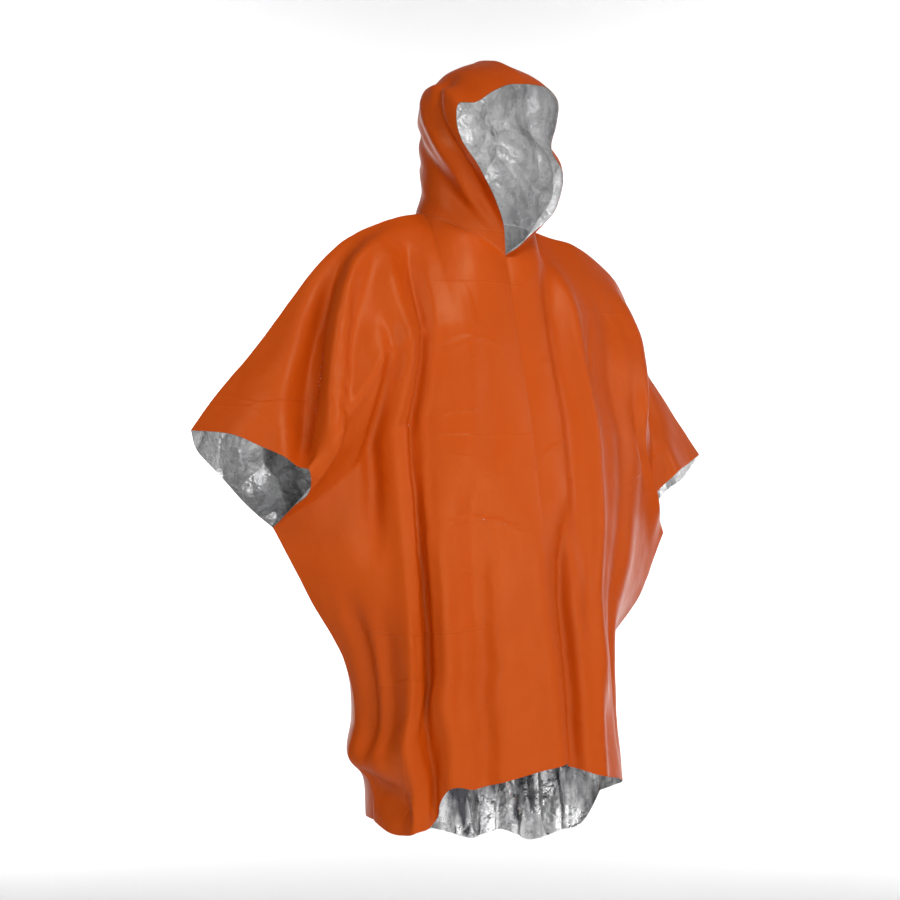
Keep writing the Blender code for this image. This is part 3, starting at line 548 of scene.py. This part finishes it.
def fold_relief(folds, shares, drops, sleeve_end):
    """Outward relief of the folds, a soft ridge or trough along each row's line. It dies out towards
    the seams: the top, and the sides below the sleeve's end."""
    relief = np.zeros((len(drops), len(shares)))
    for fold in folds:
        step = (drops - fold.t_top) / (fold.t_low - fold.t_top)
        middle = fold.c_top + (fold.c_low - fold.c_top) * step
        fade = ease((drops - fold.t_top) / FOLD_FADE + 0.5)
        if fold.t_low < 1.0:
            fade = fade * ease((fold.t_low - drops) / FOLD_FADE + 0.5)
        away = (shares[None, :] - middle[:, None]) / fold.width
        relief += fold.depth * fade[:, None] * np.exp(-away ** 2)
    joined = ease((drops - sleeve_end) / FOLD_START + 1.0)[:, None]
    at_side = 1.0 - joined * (1.0 - ease((1.0 - np.abs(shares)) / FOLD_START)[None, :])
    return relief * ease(drops / FOLD_START)[:, None] * at_side


def grid_normals(points, outward):
    """Unit normals of a grid, turned to the side of the outward vector."""
    along = np.gradient(points, axis=1)
    down = np.gradient(points, axis=0)
    normals = np.cross(along, down)
    normals /= np.linalg.norm(normals, axis=2, keepdims=True)
    if (normals * outward).sum() < 0.0:
        normals = -normals
    return normals


def leaning(shares, drop):
    """Column places at a drop. The columns lean outwards towards the hem, as the long folds do."""
    lean = np.where(shares < 0.0, -LEAN_RIGHT, LEAN_LEFT)
    return shares + lean * drop * np.sin(np.abs(shares) * math.pi)


def body_sheet(face, shares, drops):
    """The whole front or back as one surface: shares below 0 are the wearer's right side."""
    folds = FRONT_FOLDS if face == "front" else BACK_FOLDS
    rows = []
    relief = []
    for drop in drops:
        places = leaning(shares, drop)
        level = np.array([drop])
        right = half_panel(face, -1, -places[shares < 0.0], level)
        left = half_panel(face, 1, places[shares >= 0.0], level)
        rows.append(np.concatenate([right, left], axis=1))
        relief.append(fold_relief(folds, places, level, UNDERARM_SHARE))
    points = np.concatenate(rows)
    facing = FORWARDS if face == "front" else -FORWARDS
    return points + grid_normals(points, facing) * np.concatenate(relief)[:, :, None]


def half_shares():
    """Column places of a half panel, from the middle to the side."""
    neck = np.linspace(0.0, NECK_SHARE, NECK_FRONT_CELLS + 1)
    ridge = np.linspace(NECK_SHARE, 1.0, RIDGE_CELLS + 1)
    return np.concatenate([neck, ridge[1:]])


def row_drops():
    """Row places, from the top to the hem, with one row at the underarm."""
    sleeve = np.linspace(0.0, 1.0, SLEEVE_ROWS + 1) ** ROW_CROWDING * UNDERARM_SHARE
    side = np.linspace(UNDERARM_SHARE, 1.0, SIDE_ROWS + 1)
    return np.concatenate([sleeve, side[1:]])


# ---- the hood's surface
def hood_half(side, bottom, rows):
    """Points of half the hood between the neckline, the face edge, the crown seam and the nape seam."""
    columns = len(bottom) - 1
    around = np.linspace(0.0, 1.0, columns + 1)
    up = np.linspace(0.0, 1.0, rows + 1)
    edge_rows = [tuple(bottom[0])] + [tuple(row) for row in HOOD_EDGES[side]] + [tuple(BRIM_CENTRE)]
    face_edge = smooth_curve(edge_rows)(up)
    nape = smooth_curve([tuple(bottom[-1])] + [tuple(row) for row in NAPE_SEAM[1:]])(up)
    crown = smooth_curve([tuple(row) for row in CROWN_SEAM])(around)
    rise = np.stack([1.0 - (1.0 - up) ** 2, up, np.sin(up * math.pi / 2.0)], axis=-1)
    round_back = 1.0 - np.sqrt(1.0 - around ** 2)
    back = np.stack([round_back, around, around], axis=-1)[None, :, :]
    ruled = (1.0 - rise[:, None, :]) * bottom[None, :, :] + rise[:, None, :] * crown[None, :, :]
    ruled_edge = (1.0 - rise) * bottom[0] + rise * crown[0]
    ruled_nape = (1.0 - rise) * bottom[-1] + rise * crown[-1]
    points = ruled + (1.0 - back) * (face_edge - ruled_edge)[:, None, :]
    points = points + back * (nape - ruled_nape)[:, None, :]
    swell = CROWN_SWELL * np.exp(-((up - CROWN_LEVEL) / CROWN_SPREAD) ** 2)
    tuck = TEMPLE_TUCK * np.exp(-((up - TEMPLE_LEVEL) / TEMPLE_SPREAD) ** 2)
    outward = (swell - tuck) * ease((1.0 - up) / CROWN_START)
    points[:, :, 0] += side * outward[:, None] * np.sin(around * math.pi)[None, :]
    relief = fold_relief(HOOD_FOLDS, around, up, 0.0) * ease((1.0 - up) / FOLD_START)[:, None]
    return points + grid_normals(points, side * LEFTWARDS) * relief[:, :, None]


# ---- creases and wrinkles
def lattice_noise(points, seed):
    """Smooth noise between -1 and 1 at each point, in cells one unit wide."""
    values = np.random.default_rng(seed).uniform(-1.0, 1.0, NOISE_VALUES)
    cell = np.floor(points).astype(np.int64)
    part = points - cell
    blend = part ** 3 * (part * (part * 6.0 - 15.0) + 10.0)
    total = np.zeros(points.shape[:-1])
    for corner in range(8):
        steps = np.array([corner & 1, corner >> 1 & 1, corner >> 2 & 1])
        place = ((cell + steps) * NOISE_STRIDES).sum(axis=-1) % NOISE_VALUES
        weight = np.where(steps == 1, blend, 1.0 - blend).prod(axis=-1)
        total += values[place] * weight
    return total


def surface_point(points, shares, drops, c, t):
    """The grid's point nearest to the place (c, t)."""
    row = np.clip(np.searchsorted(drops, t), 0, len(drops) - 1)
    column = np.abs(shares[row] - c[:, None]).argmin(axis=1)
    return points[row, column]


def crease_relief(points, shares, drops, creases):
    """Relief of the creases. Shares is a grid of the columns' places."""
    relief = np.zeros(points.shape[:2])
    for crease in creases:
        line = smooth_curve([(crease.c1, crease.t1), (crease.c2, crease.t2), (crease.c3, crease.t3)])
        places = line(np.linspace(0.0, 1.0, CREASE_POINTS))
        path = surface_point(points, shares, drops, places[:, 0], places[:, 1])
        nearest = np.full(points.shape[:2], FAR_AWAY)
        along = np.zeros(points.shape[:2])
        for index in range(CREASE_POINTS - 1):
            start, run = path[index], path[index + 1] - path[index]
            step = ((points - start) @ run / max(run @ run, TINY)).clip(0.0, 1.0)
            distance = np.linalg.norm(points - start - step[..., None] * run, axis=-1)
            closer = distance < nearest
            nearest = np.where(closer, distance, nearest)
            along = np.where(closer, (index + step) / (CREASE_POINTS - 1), along)
        taper = np.sin(np.clip(along, 0.0, 1.0) * math.pi) ** CREASE_TAPER
        away = nearest / crease.width
        shape = np.exp(-away) if crease.crisp else np.exp(-away ** 2)
        lip = CREASE_LIP * np.exp(-(away / CREASE_LIP_WIDTH) ** 2)
        relief += crease.height * taper * (shape - lip)
    return relief


def wrinkle_relief(points):
    """Small uneven wrinkles all over, longer down the cloth than across it."""
    relief = np.zeros(points.shape[:2])
    for layer in WRINKLES:
        stretched = points * np.array([1.0, 1.0, layer.stretch]) / layer.size
        bend = lattice_noise(stretched * BEND_SCALE, layer.seed + BEND_SEED)
        relief += layer.height * lattice_noise(stretched + bend[..., None] * BEND_STRENGTH, layer.seed)
    return relief


# ---- shells and seams
class Shell:
    """A grid of outer points, with its outward normals."""

    def __init__(self, name, points, outward, relief, middle):
        self.name = name
        self.outward = outward
        self.points = points
        self.relief = relief
        self.middle = middle
        self.normals = grid_normals(points, outward)
        self.shift = np.zeros_like(points)

    def raise_relief(self):
        """Move the points out by the relief and work out the normals again."""
        self.points = self.points + self.normals * (self.relief + wrinkle_relief(self.points))[..., None]
        self.normals = grid_normals(self.points, self.outward)


def unit(vector):
    """The vector at length 1."""
    return vector / max(np.linalg.norm(vector), TINY)


def share_normals(seams):
    """Give the shells that meet at a seam's point the same normal."""
    meeting = {}
    for first, second in seams:
        for (shell_a, cell_a), (shell_b, cell_b) in zip(first, second):
            key = tuple(np.round(shell_a.points[cell_a], MEETING_DIGITS))
            meeting.setdefault(key, set()).update({(shell_a, cell_a), (shell_b, cell_b)})
    for members in meeting.values():
        members = sorted(members, key=lambda member: (member[0].name, member[1]))
        mean = unit(sum(shell.normals[cell] for shell, cell in members))
        place = sum(shell.points[cell] for shell, cell in members) / len(members)
        for shell, cell in members:
            shell.normals[cell] = mean
            shell.points[cell] = place


def part_seams(seams):
    """Move the shells apart along the seams by the seam's gap."""
    for first, second in seams:
        for (shell_a, cell_a), (shell_b, cell_b) in zip(first, second):
            apart = unit(shell_a.middle - shell_b.middle)
            shell_a.shift[cell_a] += apart * SEAM_GAP / 2.0
            shell_b.shift[cell_b] -= apart * SEAM_GAP / 2.0


def shell_mesh(shell):
    """A mesh of the outer face, the inner face and the rim, with a material slot for each."""
    outer = shell.points + shell.shift
    inner = outer - shell.normals * WALL
    rows, columns = outer.shape[:2]
    layer = rows * columns
    index = np.arange(layer).reshape(rows, columns)
    corners = [index[:-1, :-1], index[:-1, 1:], index[1:, 1:], index[1:, :-1]]
    quads = np.stack(corners, axis=-1).reshape(-1, 4)
    rim = np.concatenate([index[0, :-1], index[:-1, -1], index[-1, :0:-1], index[:0:-1, 0]])
    ahead = np.roll(rim, -1)
    side = np.stack([ahead, rim, rim + layer, ahead + layer], axis=-1)
    flat = outer.reshape(-1, 3)
    facing = np.cross(flat[quads[0, 1]] - flat[quads[0, 0]], flat[quads[0, 3]] - flat[quads[0, 0]])
    if facing @ shell.normals[0, 0] < 0.0:
        quads = quads[:, ::-1]
        side = side[:, ::-1]
    faces = np.concatenate([quads, quads[:, ::-1] + layer, side])
    slots = np.repeat([OUTSIDE, INSIDE, EDGE], [len(quads), len(quads), len(side)])
    mesh = bpy.data.meshes.new(shell.name)
    mesh.from_pydata(np.concatenate([flat, inner.reshape(-1, 3)]).tolist(), [], faces.tolist())
    mesh.polygons.foreach_set("material_index", slots.astype(np.int32))
    mesh.shade_smooth()
    out = shell.normals.reshape(-1, 3)
    mesh.normals_split_custom_set_from_vertices(np.concatenate([out, -out]).tolist())
    mesh.validate(clean_customdata=False)
    return mesh


# ---- the garment
def body_shells():
    """The two fronts and the back."""
    half = half_shares()
    drops = row_drops()
    shares = np.concatenate([-half[:0:-1], half])
    places = np.stack([leaning(shares, drop) for drop in drops])
    front = body_sheet("front", shares, drops)
    back = body_sheet("back", shares, drops)
    front_relief = crease_relief(front, places, drops, FRONT_CREASES) * edge_fade(shares, drops)
    back_relief = crease_relief(back, places, drops, BACK_CREASES) * edge_fade(shares, drops)
    start = HALF_CELLS - UNDERLAP_CELLS
    tuck = FRONT_TUCK * (1.0 - ease((shares[start:] - TUCK_START) / TUCK_END))
    tucked = front[:, start:] - grid_normals(front, FORWARDS)[:, start:] * tuck[None, :, None]
    right = Shell("front_right_film", front[:, :HALF_CELLS + 1], FORWARDS, front_relief[:, :HALF_CELLS + 1],
                  FRONT_RIGHT_MIDDLE)
    left = Shell("front_left_film", tucked, FORWARDS, front_relief[:, start:], FRONT_LEFT_MIDDLE)
    return right, left, Shell("back_film", back, -FORWARDS, back_relief, BACK_MIDDLE)


def edge_fade(shares, drops):
    """1 on the panel and along the sleeves' open edges, 0 on its shoulder and side seams."""
    top = ease(drops / RELIEF_FADE)[:, None]
    joined = ease((drops - UNDERARM_SHARE) / RELIEF_FADE + 1.0)[:, None]
    return top * (1.0 - joined * (1.0 - ease((1.0 - np.abs(shares)) / RELIEF_FADE)[None, :]))


def side_seams(side, front, first, back):
    """The seams of one shoulder and one side. The front's columns are counted from its first."""
    shoulder = [(0, k) for k in range(NECK_FRONT_CELLS, HALF_CELLS + 1)]
    flank = [(row, HALF_CELLS) for row in range(SLEEVE_ROWS, BODY_ROWS + 1)]
    for cells in (shoulder, flank):
        yield ([(front, (row, first + side * k)) for row, k in cells],
               [(back, (row, HALF_CELLS + side * k)) for row, k in cells])


def hood_shell(side, front, first, back, seams):
    """Half the hood, raised on the neckline of a front and the back."""
    front_cells = [(0, first + side * k) for k in range(NECK_FRONT_CELLS + 1)]
    back_cells = [(0, HALF_CELLS + side * k) for k in range(NECK_BACK_CELLS, -1, -1)]
    bottom = [front.points[cell] for cell in front_cells] + [back.points[cell] for cell in back_cells[1:]]
    points = hood_half(side, np.array(bottom), HOOD_ROWS)
    around = np.linspace(0.0, 1.0, points.shape[1])
    up = np.linspace(0.0, 1.0, HOOD_ROWS + 1)
    relief = crease_relief(points, np.tile(around, (HOOD_ROWS + 1, 1)), up, HOOD_CREASES)
    relief *= ease(up / RELIEF_FADE)[:, None] * ease((1.0 - up) / RELIEF_FADE)[:, None]
    relief *= ease((1.0 - around) / RELIEF_FADE)[None, :]
    name = "hood_right_film" if side < 0 else "hood_left_film"
    hood = Shell(name, points, side * LEFTWARDS, relief, HOOD_MIDDLE * np.array([side, 1.0, 1.0]))
    seams.append(([(hood, (0, k)) for k in range(NECK_FRONT_CELLS + 1)],
                  [(front, cell) for cell in front_cells]))
    seams.append(([(hood, (0, NECK_FRONT_CELLS + k)) for k in range(NECK_BACK_CELLS + 1)],
                  [(back, cell) for cell in back_cells]))
    return hood


def make_shells():
    """Every shell of the garment, with its relief and its seams."""
    right, left, back = body_shells()
    seams = list(side_seams(-1, right, HALF_CELLS, back)) + list(side_seams(1, left, UNDERLAP_CELLS, back))
    hood_right = hood_shell(-1, right, HALF_CELLS, back, seams)
    hood_left = hood_shell(1, left, UNDERLAP_CELLS, back, seams)
    last = NECK_FRONT_CELLS + NECK_BACK_CELLS
    crown = [(HOOD_ROWS, k) for k in range(last + 1)] + [(row, last) for row in range(HOOD_ROWS)]
    seams.append(([(hood_right, cell) for cell in crown], [(hood_left, cell) for cell in crown]))
    shells = (right, left, back, hood_right, hood_left)
    share_normals(seams)
    for shell in shells:
        shell.raise_relief()
    share_normals(seams)
    part_seams(seams)
    return shells


# ---- finishes
def new_material(name):
    """A material and its Principled shader."""
    material = bpy.data.materials.new(name)
    material.use_nodes = True
    return material, material.node_tree.nodes["Principled BSDF"]


def texture_node(material, kind, scale, stretch):
    """A texture in the object's own metres, stretched along its axes."""
    nodes, links = material.node_tree.nodes, material.node_tree.links
    place = nodes.new("ShaderNodeTexCoord")
    mapping = nodes.new("ShaderNodeMapping")
    mapping.inputs["Scale"].default_value = stretch
    texture = nodes.new(kind)
    texture.inputs["Scale"].default_value = scale
    links.new(place.outputs["Object"], mapping.inputs["Vector"])
    links.new(mapping.outputs["Vector"], texture.inputs["Vector"])
    return texture


def noise_value(material, noise):
    """The value of a smooth noise."""
    texture = texture_node(material, "ShaderNodeTexNoise", noise.scale, noise.stretch)
    texture.inputs["Detail"].default_value = noise.detail
    return texture.outputs["Fac"]


def cells_node(material, cells, feature="F1"):
    """Uneven cells: flat facets, or their borders."""
    texture = texture_node(material, "ShaderNodeTexVoronoi", cells.scale, cells.stretch)
    texture.feature = feature
    return texture


def spread_value(material, source, low, high, from_range=NOISE_RANGE):
    """The source's value spread between two values."""
    nodes, links = material.node_tree.nodes, material.node_tree.links
    spread = nodes.new("ShaderNodeMapRange")
    spread.inputs["From Min"].default_value, spread.inputs["From Max"].default_value = from_range
    spread.inputs["To Min"].default_value = low
    spread.inputs["To Max"].default_value = high
    links.new(source, spread.inputs["Value"])
    return spread.outputs["Result"]


def bumped(material, source, bump, normal=None):
    """The normal after a bump from the source's value."""
    nodes, links = material.node_tree.nodes, material.node_tree.links
    node = nodes.new("ShaderNodeBump")
    node.inputs["Strength"].default_value = bump.strength
    node.inputs["Distance"].default_value = bump.distance
    links.new(source, node.inputs["Height"])
    if normal is not None:
        links.new(normal, node.inputs["Normal"])
    return node.outputs["Normal"]


def mixed_colour(material, factor, first, second):
    """A colour between two, by the factor. Each of the two is a colour or a node's output."""
    nodes, links = material.node_tree.nodes, material.node_tree.links
    mix = nodes.new("ShaderNodeMix")
    mix.data_type = "RGBA"
    for socket, colour in (("A", first), ("B", second)):
        if isinstance(colour, tuple):
            mix.inputs[socket].default_value = colour
        else:
            links.new(colour, mix.inputs[socket])
    links.new(factor, mix.inputs["Factor"])
    return mix.outputs["Result"]


def packing_lines(material):
    """Thin creases where the film was folded in its pack, fading in and out along their length."""
    nodes, links = material.node_tree.nodes, material.node_tree.links
    cells = cells_node(material, PACKING_CELLS, "DISTANCE_TO_EDGE")
    line = spread_value(material, cells.outputs["Distance"], 1.0, 0.0, (0.0, PACKING_WIDTH))
    shown = spread_value(material, noise_value(material, PACKING_PATCHES), 0.0, 1.0, PACKING_SHOWN)
    product = nodes.new("ShaderNodeMath")
    product.operation = "MULTIPLY"
    links.new(line, product.inputs[0])
    links.new(shown, product.inputs[1])
    return product.outputs["Value"]


def facet_tone(material, broad, small):
    """A brightness for each facet, broad and small ones together."""
    nodes, links = material.node_tree.nodes, material.node_tree.links
    tones = []
    for cells, from_range in ((broad, BROAD_TONES), (small, SMALL_TONES)):
        split = nodes.new("ShaderNodeSeparateXYZ")
        links.new(cells.outputs["Color"], split.inputs["Vector"])
        tones.append(spread_value(material, split.outputs["X"], 0.0, 1.0, from_range))
    mean = nodes.new("ShaderNodeMix")
    mean.inputs["Factor"].default_value = SMALL_SHARE
    links.new(tones[0], mean.inputs["A"])
    links.new(tones[1], mean.inputs["B"])
    return mean.outputs["Result"]


def height_share(material, low, high):
    """0 at the lower height, 1 at the upper one."""
    nodes, links = material.node_tree.nodes, material.node_tree.links
    place = nodes.new("ShaderNodeTexCoord")
    split = nodes.new("ShaderNodeSeparateXYZ")
    links.new(place.outputs["Object"], split.inputs["Vector"])
    return spread_value(material, split.outputs["Z"], 0.0, 1.0, (low, high))


def coated_material():
    """The outside: a satin orange coating with faint mottling, packing lines and a fine grain."""
    material, shader = new_material("coated_film")
    links = material.node_tree.links
    colour = mixed_colour(material, noise_value(material, MOTTLE), ORANGE_DEEP, ORANGE_PALE)
    links.new(colour, shader.inputs["Base Color"])
    roughness = spread_value(material, noise_value(material, CLOUDS), *SATIN_ROUGHNESS)
    links.new(roughness, shader.inputs["Roughness"])
    normal = bumped(material, packing_lines(material), PACKING_BUMP)
    normal = bumped(material, noise_value(material, RUMPLE), RUMPLE_BUMP, normal)
    normal = bumped(material, noise_value(material, GRAIN), GRAIN_BUMP, normal)
    links.new(normal, shader.inputs["Normal"])
    shader.inputs["Specular IOR Level"].default_value = SATIN_SPECULAR
    shader.inputs["Specular Tint"].default_value = SATIN_TINT
    return material


def metal_material():
    """The inside: crinkled metallised film, painted darker in streaks towards the hem as the shade inside
    the garment.
    """
    material, shader = new_material("metallised_film")
    links = material.node_tree.links
    high_up = height_share(material, HEM_SHADE_TO, HEM_SHADE_FROM)
    metal = spread_value(material, high_up, METAL_AT_HEM, METAL_AT_HOOD, (0.0, 1.0))
    links.new(metal, shader.inputs["Metallic"])
    broad = cells_node(material, BROAD_FACETS)
    small = cells_node(material, SMALL_FACETS)
    bright = mixed_colour(material, facet_tone(material, broad, small), SILVER_DARK, SILVER_PALE)
    streaks = spread_value(material, noise_value(material, STREAKS), 0.0, 1.0, STREAK_TONES)
    # painted shade: low down, the silver is mixed towards dark streaks that stand in for the shade inside
    # the garment
    painted_shade = mixed_colour(material, streaks, SILVER_SHADE, SILVER_PALE)
    links.new(mixed_colour(material, high_up, painted_shade, bright), shader.inputs["Base Color"])
    roughness = spread_value(material, noise_value(material, RUBBING), *METAL_ROUGHNESS)
    links.new(roughness, shader.inputs["Roughness"])
    normal = bumped(material, broad.outputs["Distance"], BROAD_BUMP)
    normal = bumped(material, small.outputs["Distance"], SMALL_BUMP, normal)
    normal = bumped(material, noise_value(material, CRUMPLE), CRUMPLE_BUMP, normal)
    normal = bumped(material, noise_value(material, CRINKLE), CRINKLE_BUMP, normal)
    links.new(normal, shader.inputs["Normal"])
    return material


def edge_material():
    """The cut edge, where both faces of the film show as a thin line."""
    material, shader = new_material("film_edge")
    colour = mixed_colour(material, noise_value(material, EDGE_MOTTLE), EDGE_DARK, EDGE_PALE)
    material.node_tree.links.new(colour, shader.inputs["Base Color"])
    shader.inputs["Roughness"].default_value = EDGE_ROUGHNESS
    return material


# ---- stage
def seen(across, ahead, up):
    """A place given from the photograph's viewpoint: to its right, away from it, and up."""
    return VIEW_RIGHT * across + VIEW_AHEAD * ahead + Vector((0.0, 0.0, up))


def add_light(name, location, target, size, power):
    """A soft rectangular light."""
    data = bpy.data.lights.new(name, "AREA")
    data.shape = "RECTANGLE"
    data.size, data.size_y = size
    data.energy = power
    lamp = bpy.data.objects.new(name, data)
    lamp.location = location
    lamp.rotation_euler = (Vector(target) - Vector(location)).to_track_quat("-Z", "Y").to_euler()
    bpy.context.scene.collection.objects.link(lamp)


def add_stage():
    """A pale floor that sweeps up into a backdrop behind the garment."""
    bend_start = BACKDROP_AWAY - BACKDROP_BEND
    profile = [(-FLOOR_REACH, 0.0), (bend_start, 0.0)]
    for step in range(1, BACKDROP_STEPS + 1):
        angle = step / BACKDROP_STEPS * math.pi / 2.0
        profile.append((bend_start + BACKDROP_BEND * math.sin(angle),
                        BACKDROP_BEND * (1.0 - math.cos(angle))))
    profile.append((BACKDROP_AWAY, BACKDROP_HEIGHT))
    verts = []
    for away, up in profile:
        for across in (-BACKDROP_WIDTH / 2.0, BACKDROP_WIDTH / 2.0):
            place = VIEW_AHEAD * away + VIEW_RIGHT * across
            verts.append((place.x, place.y, FLOOR_Z + up))
    faces = [(2 * k, 2 * k + 1, 2 * k + 3, 2 * k + 2) for k in range(len(profile) - 1)]
    mesh = bpy.data.meshes.new("floor")
    mesh.from_pydata(verts, [], faces)
    mesh.shade_smooth()
    floor = bpy.data.objects.new("floor", mesh)
    material, shader = new_material("pale_floor")
    shader.inputs["Base Color"].default_value = FLOOR_PALE
    shader.inputs["Roughness"].default_value = FLOOR_ROUGHNESS
    mesh.materials.append(material)
    bpy.context.scene.collection.objects.link(floor)


def add_camera():
    """The camera at the photograph's angle."""
    data = bpy.data.cameras.new("camera")
    data.sensor_width = CAMERA_SENSOR
    data.lens = CAMERA_LENS
    camera = bpy.data.objects.new("camera", data)
    camera.location = seen(-CAMERA_ASIDE, -CAMERA_AWAY, CAMERA_Z)
    look = seen(0.0, math.cos(CAMERA_PITCH), math.sin(CAMERA_PITCH))
    camera.rotation_euler = look.to_track_quat("-Z", "Y").to_euler()
    bpy.context.scene.collection.objects.link(camera)
    bpy.context.scene.camera = camera


def add_lights():
    """Plain soft studio light."""
    for row in LIGHTS:
        add_light(row.name, seen(row.across, row.ahead, row.up),
                  seen(row.to_across, row.to_ahead, row.to_up), (row.width, row.length), row.power)
    world = bpy.data.worlds.new("studio")
    world.use_nodes = True
    background = world.node_tree.nodes["Background"]
    background.inputs["Color"].default_value = WORLD_COLOUR
    background.inputs["Strength"].default_value = WORLD_STRENGTH
    bpy.context.scene.world = world
    bpy.context.scene.view_settings.view_transform = "Standard"


# ---- all of it
# Each shell's node, its flat length and width, and the area of cloth that is cut from them.
SHEETS = {
    "front_right_film": ("front_right", (0.60, 0.90), 0.43),
    "front_left_film": ("front_left", (0.62, 0.90), 0.43),
    "back_film": ("back", (1.20, 1.07), 0.86),
    "hood_right_film": ("hood_right", (0.32, 0.34), 0.092),
    "hood_left_film": ("hood_left", (0.32, 0.34), 0.092),
}


def add_garment():
    """Link the shells, attach each to the root and hide the solids that they replace."""
    finishes = (coated_material(), metal_material(), edge_material())
    for shell in make_shells():
        mesh = shell_mesh(shell)
        for finish in finishes:
            mesh.materials.append(finish)
        piece = bpy.data.objects.new(shell.name, mesh)
        bpy.context.scene.collection.objects.link(piece)
        node, flat, area = SHEETS[shell.name]
        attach(piece, "root")
        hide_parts(node)


add_garment()
add_stage()
add_lights()
add_camera()
